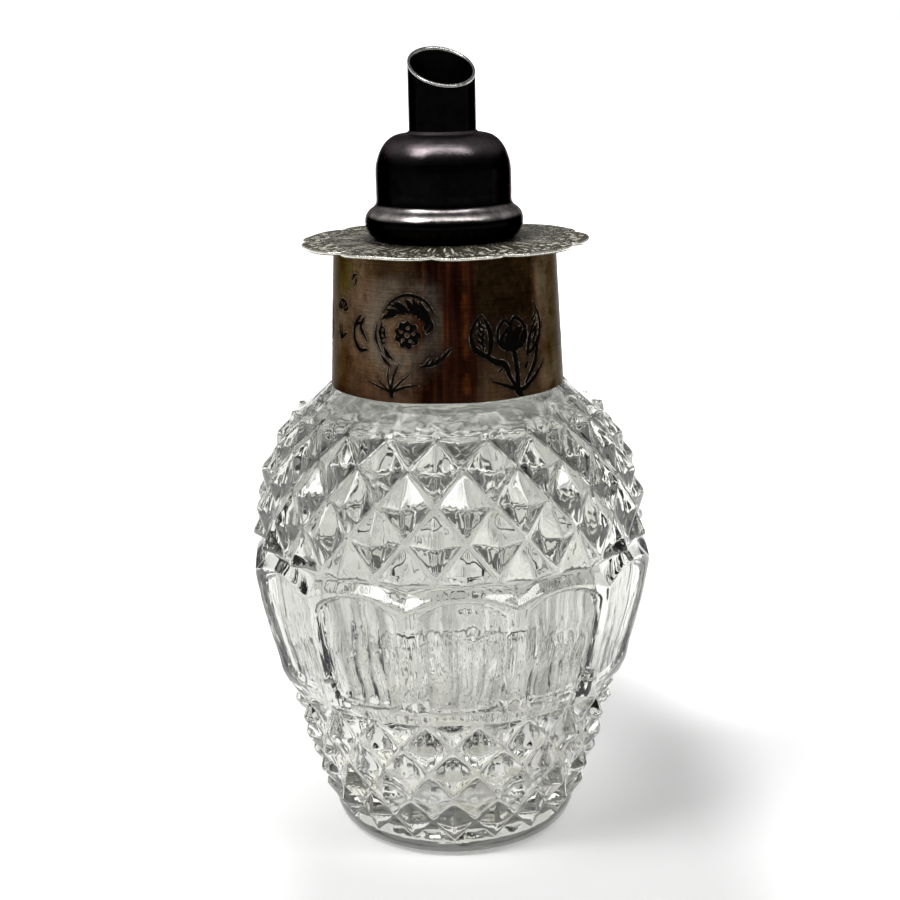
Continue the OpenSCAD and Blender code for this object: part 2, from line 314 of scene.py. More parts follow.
def glass_material():
    m, nt, b = material("clear_pressed_glass")
    g = G(nt)
    v = g.coords()
    x, y, z = g.xyz(v)
    b.inputs["Transmission Weight"].default_value = 1.0
    b.inputs["IOR"].default_value = 1.51
    # grey tint, paler at the foot and greyer above the lower band: painted shade standing in for darker surroundings
    # seen through the glass; a faint straw tint low down
    tint = g.noise(v, 70, 2)
    grey = g.ramp(tint, [(0.3, (0.85, 0.852, 0.822)), (0.7, (0.895, 0.897, 0.872))])
    low = g.mix(g.span(z, 0.0045, 0.0085), (0.975, 0.975, 0.965, 1.0), g.mix(0.5, grey, (0.94, 0.94, 0.925)))
    grey = g.mix(g.span(z, 0.026, 0.040), low, g.mix(1.0, grey, (0.81, 0.813, 0.804), "MULTIPLY"))
    # painted shade: the undersides of the points in the upper band are tinted greyer, as they face away from the light
    geo = g.n("ShaderNodeNewGeometry")
    rel = g.math("SUBTRACT", g.xyz(geo.outputs["Normal"])[2], g.span(z, 0.062, 0.082, 0, 0.55))
    underside_shade = g.math("MULTIPLY", g.span(rel, -0.04, -0.28, 0, 1), g.math("MULTIPLY", g.span(z, 0.0588, 0.0606), g.span(z, 0.0848, 0.0838)))
    underside_shade = g.math("MULTIPLY", underside_shade, g.math("SUBTRACT", 1.0, geo.outputs["Backfacing"]))
    grey = g.mix(underside_shade, grey, g.mix(1.0, grey, (0.74, 0.745, 0.735), "MULTIPLY"))
    straw = g.math("MULTIPLY", g.span(z, 0.034, 0.012, 0, 1), g.span(g.noise(v, 95, 1), 0.52, 0.66, 0, 0.8))
    # fire-polished skin: long slow ripples and a few fine ones
    w1 = g.noise(g.mapped(v, scale=(1, 1, 0.45)), 330, 2, 0.5)
    still = g.math("SUBTRACT", 1.0, g.math("MULTIPLY", g.span(z, 0.0548, 0.0556), g.span(z, 0.0602, 0.0598)))
    n1 = g.bump(g.math("MULTIPLY", w1, still), 0.11, 0.0003)
    # the plain shoulder under the sleeve is wavier
    n1 = g.bump(g.math("MULTIPLY", g.noise(g.mapped(v, scale=(1, 1, 1.6)), 150, 1.5, 0.4), g.span(z, 0.0838, 0.0862)), 0.5, 0.0016, n1)
    # upright draw lines in the sunk, arched fields of the panels
    at = nt.nodes.new("ShaderNodeAttribute")
    at.attribute_name = "mark"
    r = g.math("SQRT", g.math("ADD", g.math("MULTIPLY", x, x), g.math("MULTIPLY", y, y)))
    wall = g.math("MINIMUM", 0.0343, g.math("MULTIPLY_ADD", g.math("SUBTRACT", z, 0.030), 0.6, 0.0302))
    inner = g.math("MULTIPLY", g.math("LESS_THAN", r, wall), g.math("MULTIPLY", g.span(z, 0.030, 0.036, 0, 0.5), g.span(z, 0.058, 0.048, 0, 1)))
    field = g.span(at.outputs["Fac"], 0.6, 0.1)
    # strongest on the panels at the front and back, where the mould was worn
    turn = g.math("ABSOLUTE", g.math("COSINE", g.math("SUBTRACT", g.math("ARCTAN2", x, g.math("MULTIPLY", y, -1.0)), 0.0471)))
    patch = g.math("MULTIPLY", g.span(g.noise(v, 75, 2), 0.36, 0.56, 0.4, 1.0), g.span(turn, 0.66, 0.76, 0.28, 1.0))
    inside = g.math("MULTIPLY", g.math("MAXIMUM", field, inner), patch)
    bend = g.math("MULTIPLY_ADD", g.noise(g.mapped(v, scale=(1, 1, 2)), 70, 2), 0.003, g.math("MULTIPLY", g.math("ARCTAN2", x, y), 0.0375))
    line = g.noise(g.vec(bend, g.math("MULTIPLY", z, 0.055), 0.0), 560, 1.2, 0.4)
    fine = g.math("MULTIPLY", line, inside)
    n2 = g.bump(fine, 1.0, 0.0016, n1)
    # the draw lines are also painted darker in the sunk fields: painted shade standing in for the dark they refract
    groove = g.math("MULTIPLY", g.math("MULTIPLY", g.span(line, 0.53, 0.40, 0, 1), field), patch)
    g.link(g.mix(groove, g.mix(straw, grey, (0.9, 0.885, 0.74)), (0.36, 0.36, 0.345)), b.inputs["Base Color"])
    g.link(g.math("ADD", g.span(z, 0.0843, 0.0856, 0.012, 0.14), g.math("MULTIPLY", g.math("MULTIPLY", field, patch), 0.10)), b.inputs["Roughness"])
    g.link(n2, b.inputs["Normal"])
    # the thicker it is, the greyer
    ab = nt.nodes.new("ShaderNodeVolumeAbsorption")
    ab.inputs["Color"].default_value = (0.46, 0.47, 0.38, 1)
    ab.inputs["Density"].default_value = 9.0
    nt.links.new(ab.outputs[0], nt.nodes["Material Output"].inputs["Volume"])
    return m


def metal(name, dark, light, rough, scale=400.0, metallic=1.0, rvar=0.12, bump=0.1):
    """Plain aged metal: clouded colour, varied roughness, fine wear."""
    m, nt, b = material(name)
    g = G(nt)
    v = g.coords()
    c = g.noise(v, scale, 4, 0.6)
    g.link(g.ramp(c, [(0.35, dark), (0.7, light)]), b.inputs["Base Color"])
    b.inputs["Metallic"].default_value = metallic
    g.link(g.span(g.noise(v, scale * 2.3, 3), 0.3, 0.7, rough - rvar, rough + rvar), b.inputs["Roughness"])
    g.link(g.bump(g.noise(v, scale * 5, 3), bump, 0.0001), b.inputs["Normal"])
    return m


def plaster_material():
    m, nt, b = material("plaster_bed")
    g = G(nt)
    v = g.coords()
    c = g.noise(v, 260, 5, 0.65)
    g.link(g.ramp(c, [(0.3, (0.5, 0.47, 0.4)), (0.55, (0.72, 0.7, 0.63)), (0.75, (0.8, 0.78, 0.72))]), b.inputs["Base Color"])
    b.inputs["Roughness"].default_value = 0.9
    g.link(g.bump(g.noise(v, 1500, 4), 0.5, 0.0003), b.inputs["Normal"])
    return m


def cork_material():
    m, nt, b = material("natural_cork")
    g = G(nt)
    v = g.coords()
    grain = g.noise(g.mapped(v, scale=(1, 1, 0.6)), 420, 5, 0.65)
    base = g.ramp(grain, [(0.28, (0.23, 0.115, 0.05)), (0.5, (0.47, 0.28, 0.13)), (0.72, (0.62, 0.42, 0.23))])
    pits = g.voronoi(g.mapped(v, scale=(1, 1, 0.5)), 620)
    dark = g.span(pits, 0.08, 0.24, 1.0, 0.0, smooth=True)
    g.link(g.mix(g.math("MULTIPLY", dark, 0.8), base, (0.1, 0.045, 0.02)), b.inputs["Base Color"])
    b.inputs["Roughness"].default_value = 0.85
    h = g.math("SUBTRACT", grain, g.math("MULTIPLY", dark, 0.8))
    g.link(g.bump(h, 0.7, 0.0004), b.inputs["Normal"])
    return m


def dark_metal():
    """Blackened polished metal; surfaces that face up, the bead most of all, get a paler colour: painted sheen and
    highlight where they face the light, with painted glint specks.
    """
    m, nt, b = material("dark_polished_metal")
    g = G(nt)
    v = g.coords()
    nz = g.xyz(g.n("ShaderNodeNewGeometry").outputs["Normal"])[2]
    up = g.span(nz, 0.26, 0.62, 0, 1, smooth=True)
    cloud = g.noise(v, 500, 4, 0.6)
    deep = g.ramp(cloud, [(0.35, (0.0026, 0.0024, 0.0025)), (0.7, (0.005, 0.0044, 0.0045))])
    # painted sheen: a paler colour for up-facing surfaces, where they catch the light from above
    painted_up_sheen = g.ramp(cloud, [(0.35, (0.12, 0.102, 0.108)), (0.7, (0.19, 0.165, 0.172))])
    # painted highlight: the bead and the parts below z 122 mm get a still paler, patchy colour
    painted_up_sheen = g.mix(g.span(g.xyz(v)[2], 0.125, 0.122), painted_up_sheen, g.ramp(g.noise(v, 260, 5, 0.65), [(0.34, (0.2, 0.18, 0.178)), (0.5, (0.5, 0.46, 0.45)), (0.62, (0.8, 0.76, 0.74))]))
    base = g.mix(up, deep, painted_up_sheen)
    # painted glints: small pale specks on up-facing surfaces
    painted_glint_specks = g.math("MULTIPLY", g.span(g.voronoi(v, 1500), 0.12, 0.05, 0, 0.5), g.span(g.noise(v, 300, 2), 0.5, 0.62))
    base = g.mix(g.math("MULTIPLY", painted_glint_specks, up), base, (0.3, 0.27, 0.26))
    g.link(base, b.inputs["Base Color"])
    b.inputs["Metallic"].default_value = 1.0
    b.inputs["Specular Tint"].default_value = (0.3, 0.28, 0.28, 1)
    g.link(g.math("ADD", g.span(g.noise(v, 1150, 3), 0.3, 0.7, 0.13, 0.2), g.math("MULTIPLY", up, 0.17)), b.inputs["Roughness"])
    g.link(g.bump(g.noise(v, 2600, 3), 0.2, 0.00006), b.inputs["Normal"])
    return m


M_DARK = dark_metal()
M_GLASS = glass_material()
M_PLASTER = plaster_material()
M_CORK = cork_material()
M_BLACK = metal("sooty_tube_bore", (0.003, 0.003, 0.003), (0.006, 0.0055, 0.005), 0.45, 700)
M_RIM = metal("worn_bright_rim", (0.45, 0.44, 0.42), (0.75, 0.73, 0.7), 0.25, 900)
M_SOLDER = metal("solder", (0.14, 0.13, 0.12), (0.4, 0.39, 0.36), 0.5, 700, bump=0.5)
M_WASHER = metal("worn_brass_washer", (0.2, 0.14, 0.06), (0.55, 0.42, 0.2), 0.4, 500)


# -------------------------------------------------------------------- glass
UP_Z = [60.3, 67.4, 73.5, 79.5, 84.3]
UP_R = [36.5, 36.3, 34.7, 31.9, 28.4]
UP_A, UP_N, UP_H = -4.4, 20, 1.8
LO_Z = [3.6, 8, 13.4, 19.3, 25, 30.3]
LO_R = [23.7, 24.5, 26.6, 28.2, 29.9, 30.4]
LO_N, LO_H = 19, 2.0
LO_A = 4 - 90 / 19
PANEL_A = 2.7
PANEL_P = [[20, 30.2], [32, 33.9], [34.5, 35], [38, 35.75], [41, 36.6], [45, 37.6], [49.5, 38.6],
           [51.7, 38.95], [54, 39.35], [56, 39.5], [62, 39.5]]
NARROW = [0, 0.05, 0.10, 0.16, 0.29, 0.50, 0.70, 0.87, 1.0]
US = np.array([-(1 - p) for p in NARROW] + [(1 - p) for p in reversed(NARROW[:-1])])
NU = len(US) - 1


def foot_r(z):
    return spline([0, 0.35, 1.2, 2.6, 4.2, 5.4, 6.6, 8.0], [20.4, 21.7, 22.9, 23.75, 24.1, 24.0, 23.3, 21.5], z)


def smax(a, b, k):
    return 0.5 * (a + b + np.sqrt((a - b) ** 2 + k * k))


def smin(a, b, k):
    return 0.5 * (a + b - np.sqrt((a - b) ** 2 + k * k))


def point_height(u, v):
    """Height of a four-sided point over its cell: 0 in the flat-bottomed channel around it, 1 at its blunt tip."""
    n = (np.abs(u) ** 18 + np.abs(v) ** 18) ** (1 / 18)
    p = 1 - np.sqrt(n * n + 0.10**2)
    w, e = 0.07, 0.035
    ramp = lambda t: 0.5 * ((t - w) + np.sqrt((t - w) ** 2 + e * e))
    h = ramp(p) - ramp(np.float64(-0.02))
    top = ramp(np.float64(1 - 0.10)) - ramp(np.float64(-0.02))
    return np.clip(h, 0, None) / top


def diamonds(s, n, zs, rs, relief, a0, lead, shape=None, dig=0.0):
    """Adds a band of four-sided points to shell s. Returns the ids and angles of its lower and upper edge rings."""
    m = len(zs) - 1
    rs = [r - dig * (0 < j < m) for j, r in enumerate(rs)]
    relief = relief + dig
    st = 360 / n
    na = lambda j, k: a0 + (j % 2) * st / 2 + st * k
    nd = lambda j, k: pol(rs[j], na(j, k), zs[j])
    uu, vv = np.meshgrid(US, US, indexing="ij")
    hh = point_height(uu, vv)
    edges = {}
    for j in range(0, m + 1):
        for k in range(n):
            w, e = nd(j, k), nd(j, k + 1)
            mid = k if j % 2 == 0 else k + 1
            nn = nd(j + 1, mid) if j < m else None
            ss = nd(j - 1, mid) if j > 0 else None
            flat = lead and j == 0
            if nn is None:
                nn = w + e - ss
            if ss is None:
                ss = w + e - nn
            up_only, low_only = j == 0, j == m
            c = (1 + uu)[..., None] * (1 + vv)[..., None] * nn + (1 + uu)[..., None] * (1 - vv)[..., None] * e
            c = (c + (1 - uu)[..., None] * (1 - vv)[..., None] * ss + (1 - uu)[..., None] * (1 + vv)[..., None] * w) / 4
            rad = np.hypot(c[..., 0], c[..., 1])
            mid_r = np.hypot(*((w + e)[:2] / 2)) if (up_only or low_only) else rad[NU // 2, NU // 2]
            h = 0.0 if flat else rs[j] + relief - rad[NU // 2, NU // 2]
            if low_only and zs[j] > 50:
                h = rs[j] + 1.8 - rad[NU // 2, NU // 2]
            nr = rad + h * hh
            if shape is not None:
                nr = shape(nr, c[..., 2])
            c[..., 0] *= nr / rad
            c[..., 1] *= nr / rad
            ids = s.add(c.reshape(-1, 3)).reshape(NU + 1, NU + 1)
            for a in range(NU):
                for b in range(NU):
                    q = (ids[a, b], ids[a + 1, b], ids[a + 1, b + 1], ids[a, b + 1])
                    d = a + b + 1 - NU  # 0 on the west-east diagonal
                    if up_only and d < 0 or low_only and d > 0:
                        continue
                    if d == 0:
                        if not low_only:
                            s.face(q[1], q[2], q[3])
                        if not up_only:
                            s.face(q[0], q[1], q[3])
                    elif a == b:
                        s.face(q[0], q[1], q[2])
                        s.face(q[0], q[2], q[3])
                    else:
                        s.face(*q)
            if up_only or low_only:
                edges.setdefault(j, []).extend(int(ids[a, NU - a]) for a in range(NU))
    pts = np.vstack(s.v)
    out = []
    for j in (0, m):
        ids = np.array(edges[j])
        p = pts[ids]
        ang = np.degrees(np.arctan2(p[:, 0], -p[:, 1]))
        ang = ang[0] + (ang - ang[0]) % 360
        ang[0] = ang[0]
        out.append((ids, ang, p))
    return out


def rings_from(s, ang, prof, prev, flip=False, mark=9.0):
    """Continues a ring of the same angles through a list of (r, z); r and z may be arrays."""
    for r, z in prof:
        ring = s.add(pol(np.zeros(len(ang)) + r, ang, np.zeros(len(ang)) + z), mark)
        s.band(prev, ring, flip=flip)
        prev = ring
    return prev


def build_glass():
    s = Shell()
    # lower band and foot
    shape = lambda r, z: np.where(z < 9.5, smax(r, foot_r(np.clip(z, 0, 8)), 0.25), r)
    (lo0, lo0_a, lo0_p), (lo1, lo1_a, lo1_p) = diamonds(s, LO_N, LO_Z, LO_R, LO_H, LO_A, True, shape, 0.35)
    # foot, downwards to the standing ring and the dish under it
    zs = [3.0, 2.4, 1.8, 1.25, 0.8, 0.45, 0.2, 0.05, 0.0]
    prev = lo0
    for z in zs:
        r = float(foot_r(z)) if z > 0 else 20.2
        ring = s.add(pol(np.full(len(lo0), r), lo0_a, np.full(len(lo0), z)))
        s.band(ring, prev)
        prev = ring
    for r, z in [(19.4, 0.0), (18.4, 0.0), (17.9, 0.04), (17.2, 0.25), (16.4, 0.6), (15, 0.8), (12.4, 0.92), (6, 0.92)]:
        ring = s.add(pol(np.full(len(lo0), r), lo0_a, np.full(len(lo0), z)))
        s.band(ring, prev)
        prev = ring
    centre = s.add([[0, 0, 0.92]])[0]
    for i in range(len(prev)):
        s.face(centre, prev[(i + 1) % len(prev)], prev[i])
    # groove under the panels
    prev = rings_from(s, lo1_a, [(30.75, 30.62), (30.75, 30.8)], lo1)
    low_groove, low_a = prev, lo1_a

    # panels
    offs = np.array([-15, -14.75, -14.4, -14.0, -13.6, -13.2, -12.8, -12.4, -12.0, -11.5, -10.8, -9.5, -7.5, -5, -2.5])
    offs = np.concatenate([offs, [0], -offs[::-1][:-1]])
    pang, poff = [], []
    for k in range(12):
        for o in offs:
            pang.append(PANEL_A - 15 + 30 * k + 15 + o)
            poff.append(o)
    pang, poff = np.array(pang), np.array(poff)
    c15 = math.cos(math.radians(15))
    pz, pr = zip(*PANEL_P)

    def sunk(z):
        a = spline(pz, pr, z) * c15
        o = np.radians(np.abs(poff))
        w = a * math.tan(math.radians(15)) - 1.45  # half width of the sunk field inside its raised border
        x = a * np.tan(o)
        top = 57.4 - 3.2 * np.clip(x / w, 0, 1.3) ** 2.3
        d = smin(smin(w - x, top - z, 0.8), z - 34.0, 3.0)
        t = np.clip(d / 0.66, 0, 1)
        return t * t * (3 - 2 * t)

    def panel(z):
        a = spline(pz, pr, z) * c15
        o = np.radians(np.abs(poff))
        return smin(a / np.cos(o), a / np.cos(np.radians(30) - o), 0.22) - 0.56 * sunk(z)

    def solve(z0, z1, cone):
        lo, hi = np.full(len(pang), float(z0)), np.full(len(pang), float(z1))
        rising = np.mean(cone(z1)) > np.mean(cone(z0))
        for _ in range(40):
            mid = (lo + hi) / 2
            d = cone(mid) - panel(mid)
            up = d < 0 if rising else d > 0
            lo, hi = np.where(up, mid, lo), np.where(up, hi, mid)
        return (lo + hi) / 2

    drop = 0.75 * np.clip(np.abs(poff) / 15, 0, 1) ** 2.6
    top_cone = lambda z: np.interp(z + drop * np.clip((59.6 - z) / 1.6, 0, 1), [55.6, 57.9, 59.4, 59.8, 60.6], [40.1, 37.95, 36.6, 36.5, 36.5])
    low_cone = lambda z: np.interp(z, [30.85, 31.5, 32.7, 34], [30.85, 33.2, 35.4, 37])
    za = solve(55.5, 59.7, top_cone)
    zb = solve(30.9, 34, low_cone)
    k = 0.22
    first = s.add(pol(np.full(len(pang), 30.85), pang, np.full(len(pang), 30.95)))
    s.zip(low_groove, low_a, first, pang)
    prev = first
    for t in (0.25, 0.5, 0.72, 0.86, 0.94, 1.0):
        z = 30.95 + (zb - 30.95) * t
        r = smin(low_cone(z), panel(z), k)
        prev = rings_from(s, pang, [(r, z)], prev)
    for t in (0.008, 0.02, 0.035, 0.05, 0.065, 0.08, 0.095, 0.11, 0.13, 0.15, 0.18, 0.22, 0.28, 0.35, 0.42, 0.5, 0.58, 0.65, 0.71, 0.76,
              0.80, 0.83, 0.855, 0.88, 0.9, 0.92, 0.94, 0.955, 0.97, 0.985, 0.995, 1.0):
        z = zb + (za - zb) * t
        r = smin(smin(low_cone(np.minimum(z, 34)), panel(z), k) if t < 0.05 else panel(z), top_cone(z), k)
        prev = rings_from(s, pang, [(r, z)], prev, mark=1 - sunk(z))
    for t in (0.04, 0.1, 0.2, 0.4, 0.65, 0.85, 1.0):
        z = za + (59.75 - za) * t
        r = smin(top_cone(z), panel(z), k)
        prev = rings_from(s, pang, [(r, z)], prev)
    # upper band
    (up0, up0_a, up0_p), (up1, up1_a, up1_p) = diamonds(s, UP_N, UP_Z, UP_R, UP_H, UP_A, False, None, 0.4)
    g0 = s.add(pol(np.full(len(up0), 36.55), up0_a, np.full(len(up0), 59.95)))
    s.zip(prev, pang, g0, up0_a)
    s.band(g0, up0)
    # flare, neck, lip
    r1 = np.hypot(up1_p[:, 0], up1_p[:, 1])
    prof = [(28.3, 84.45), (27.2, 85.35), (26.3, 86.1), (25.3, 87.0), (24.3, 87.9), (23.4, 88.7), (22.7, 89.3), (22.1, 89.6),
            (19.6, 90.1), (18.2, 90.6), (17.1, 92.6), (17, 111),
            (17.9, 112.2), (18.2, 113.2), (18.2, 114.4), (17.95, 115.5), (17.4, 116.1), (16.6, 116.2),
            (12.6, 116.2), (12.25, 116.15), (12.08, 115.95), (12.04, 115.4)]
    prev = rings_from(s, up1_a, prof, up1)
    # inside: down the bore, then the oil chamber with its faint upright ripples
    nc = 280
    ca = UP_A + np.arange(nc) * 360 / nc
    hz = [7.5, 7.7, 8.7, 10.7, 14, 20, 26, 31, 37, 45, 52, 58, 64, 70, 75.5, 80, 84.2, 88, 91.6, 94.8, 98, 116.2]
    hr = [0, 12, 16.5, 19.3, 21.4, 24.2, 26.5, 28.6, 31, 33, 34, 33.8, 33, 31.6, 29.4, 26.5, 22.6, 18.6, 15.2, 12.8, 11.45, 12.05]
    first = True
    zl = [112, 106, 100, 98.2, 97.6, 96.5, 95.2, 94, 92.8, 91.6, 90.4, 89.2, 88, 86.7]
    zl += [85.5 - 1.05 * k for k in range(26)] + [57, 55, 53, 51, 48.5, 46, 43.5, 41, 38.5, 36.5, 34.5, 32.8]
    zl += [31.2 - 1.1 * k for k in range(19)] + [10.6, 10, 9.4, 8.9, 8.5]
    rng = np.random.default_rng(11)
    modes = [(int(q), float(rng.uniform(0, 360)), float(a)) for q, a in
             [(13, .5), (19, .5), (23, .6), (31, .6), (37, .7), (46, .7), (53, .6), (61, .6), (71, .5), (79, .4)]]

    def swell(z):
        """The wall inside follows the pattern outside, softly."""
        out = 0 * ca
        for zs, a0, n, h in ((UP_Z, UP_A, UP_N, -1.35), (LO_Z, LO_A, LO_N, -0.7)):
            q = np.interp(z, zs, np.arange(len(zs)))
            x = (ca - a0) * n / 360
            w = 1 / (1 + math.exp(-(z - zs[0] - 1) / 0.8)) / (1 + math.exp((z - zs[-1] + 1.5) / 0.8))
            u = 2 * np.abs((x + q / 2) % 1 - 0.5)
            v = 2 * np.abs((x - q / 2) % 1 - 0.5)
            out = out + h * w * (1 - (u**8 + v**8) ** 0.125)
        w = 1 / (1 + math.exp(-(z - 34) / 1.2)) / (1 + math.exp((z - 57) / 1.2))
        return out - 0.3 * w * np.cos(np.radians(12 * (ca - PANEL_A)))

    def ripple(z):
        w = np.exp(-(((z - 42) / 13.5) ** 6)) + 0.10
        t = 0 * ca
        for q, ph, a in modes:
            drift = 9 * math.sin(z / 11.0 + q) + 4 * math.sin(z / 4.3 + 2 * q)
            t = t + a * np.cos(np.radians(q * ca + ph + drift))
        return w * 0.085 * t * (0.22 + 0.78 * np.clip(np.abs(np.cos(np.radians(ca - PANEL_A))) * 3 - 1.6, 0, 1))

    hz_s = np.array(hz[3:])
    hr_s = np.array(hr[3:])
    for z in zl:
        if z >= 10.7:
            r = spline(hz_s, hr_s, z)
        else:  # the rounded floor
            r = float(np.interp(z, [7.5, 7.7, 8.7, 10.7], [0, 12, 16.5, 19.3]))
            r = spline([7.5, 7.7, 8.7, 10.7, 14], [0.5, 12, 16.5, 19.3, 21.4], z)
        ring = s.add(pol(np.full(nc, float(r)) + (ripple(z) + swell(z)) * min(1.0, max(0.0, (float(r) - 12.5) / 8)), ca, np.full(nc, float(z))))
        if first:
            s.zip(prev, up1_a, ring, ca)
            first = False
        else:
            s.band(prev, ring)
        prev = ring
    for r, z in [(15.3, 8.3), (13.4, 7.95), (10.5, 7.66), (7, 7.55), (3.5, 7.5)]:
        ring = s.add(pol(np.full(nc, float(r)), ca, np.full(nc, float(z))))
        s.band(prev, ring)
        prev = ring
    c = s.add([[0, 0, 7.5]])[0]
    for i in range(nc):
        s.face(c, prev[i], prev[(i + 1) % nc])
    return s.mesh("glass_body", [M_GLASS])


glass = build_glass()
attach(glass, "bottle")
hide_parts("glass_bottle")

# ---------------------------------------------------------------- engraving
def strokes_distance(px, pz, strokes):
    """Signed distance (mm) from every point to the nearest cut; negative inside a cut."""
    best = np.full(px.shape, 9.0)
    for pts, w in strokes:
        q = curve_points(pts, max(6, 3 * len(pts) + 4))
        t = np.linspace(0, 1, len(q))
        ww = np.interp(t, np.linspace(0, 1, len(w)), w)
        for i in range(len(q) - 1):
            ax, az = q[i]
            dx, dz = q[i + 1] - q[i]
            k = np.clip(((px - ax) * dx + (pz - az) * dz) / max(dx * dx + dz * dz, 1e-9), 0, 1)
            d = np.hypot(px - ax - k * dx, pz - az - k * dz) - (ww[i] + (ww[i + 1] - ww[i]) * k) * 0.6
            best = np.minimum(best, d)
    return best


def polar(r, t):
    t = math.radians(t)
    return [r * math.cos(t), r * math.sin(t)]


def daisy(rng, flip=1):
    """An open flower under an arch of petals, leaves at its sides and a tuft of stalks below."""
    j = lambda s=0.12: float(rng.normal(0, s))
    st = []
    for k in range(9):  # ragged eye of the flower
        t = 40 * k + j(3)
        st.append(([polar(0.9, t), polar(1.6 + j(), t + 12), polar(2.3 + j(), t + 4)], (0.6, 0.85, 0.4)))
        st.append(([polar(2.0, t - 14), polar(2.35 + j(), t + 2), polar(2.0, t + 17)], (0.2, 0.36, 0.2)))
    for k in range(20):  # arch of petals
        t = 22 + 6.2 * k + j(3)
        e = 1 - abs(k - 9.5) / 11
        st.append(([polar(4.0 + j(0.25), t - 12), polar(4.9 + j(0.2), t), polar(5.5 + 1.3 * e + j(0.35), t + 13)], (0.2, 0.42 + 0.3 * e + j(0.06), 0.12)))
    st.append(([polar(6.3, 30), polar(7.1, 62), polar(7.2, 92), polar(6.6, 120), polar(6.1, 142)], (0.12, 0.34, 0.42, 0.3, 0.1)))
    st.append(([polar(4.4, 22), polar(4.3, 60), polar(4.2, 95), polar(4.6, 128)], (0.12, 0.34, 0.34, 0.1)))
    for r, a, b, w in ((5.4, 156, 202, 0.5), (6.4, 165, 212, 0.42), (5.3, 206, 240, 0.7), (6.5, 214, 242, 0.48), (4.5, 166, 190, 0.45)):
        st.append(([polar(r + j(), a), polar(r + 0.15, (a + b) / 2), polar(r + j(), b)], (0.1, w, 0.12)))
    for k in range(4):
        st.append(([polar(5.5, 164 + 11 * k), polar(4.9, 168 + 11 * k), polar(4.5 + j(), 166 + 11 * k)], (0.24, 0.24, 0.1)))
    st.append(([[2.2, -5.7], [4.6, -5.3], [6.4, -4.2], [7.6, -2.6]], (0.12, 0.4, 0.36, 0.12)))
    for k in range(5):
        x = 3.2 + 0.95 * k
        z = -5.55 + 0.12 * k * k
        st.append(([[x, z], [x + 0.5, z + 0.6], [x + 0.9 + j(), z + 1.3]], (0.3, 0.3, 0.1)))
    foot = [-3.2 + j(), -10.7]
    for x, z, w in ((-8.6, -8.9, 0.26), (-6.3, -7.6, 0.24), (-3.6, -5.6, 0.24), (-1.6, -5.0, 0.32), (0.6, -7.2, 0.28), (2.1, -9.0, 0.34)):
        st.append(([[x + j(), z + j()], [(x + foot[0]) / 2 + 0.12 * x, (z + foot[1]) / 2 + 0.35], foot], (0.1, w, w)))
    st.append(([[-3.2, -10.7], [-3.1, -11.4]], (0.7, 0.5)))
    return [([[flip * x, z] for x, z in pts], w) for pts, w in st]


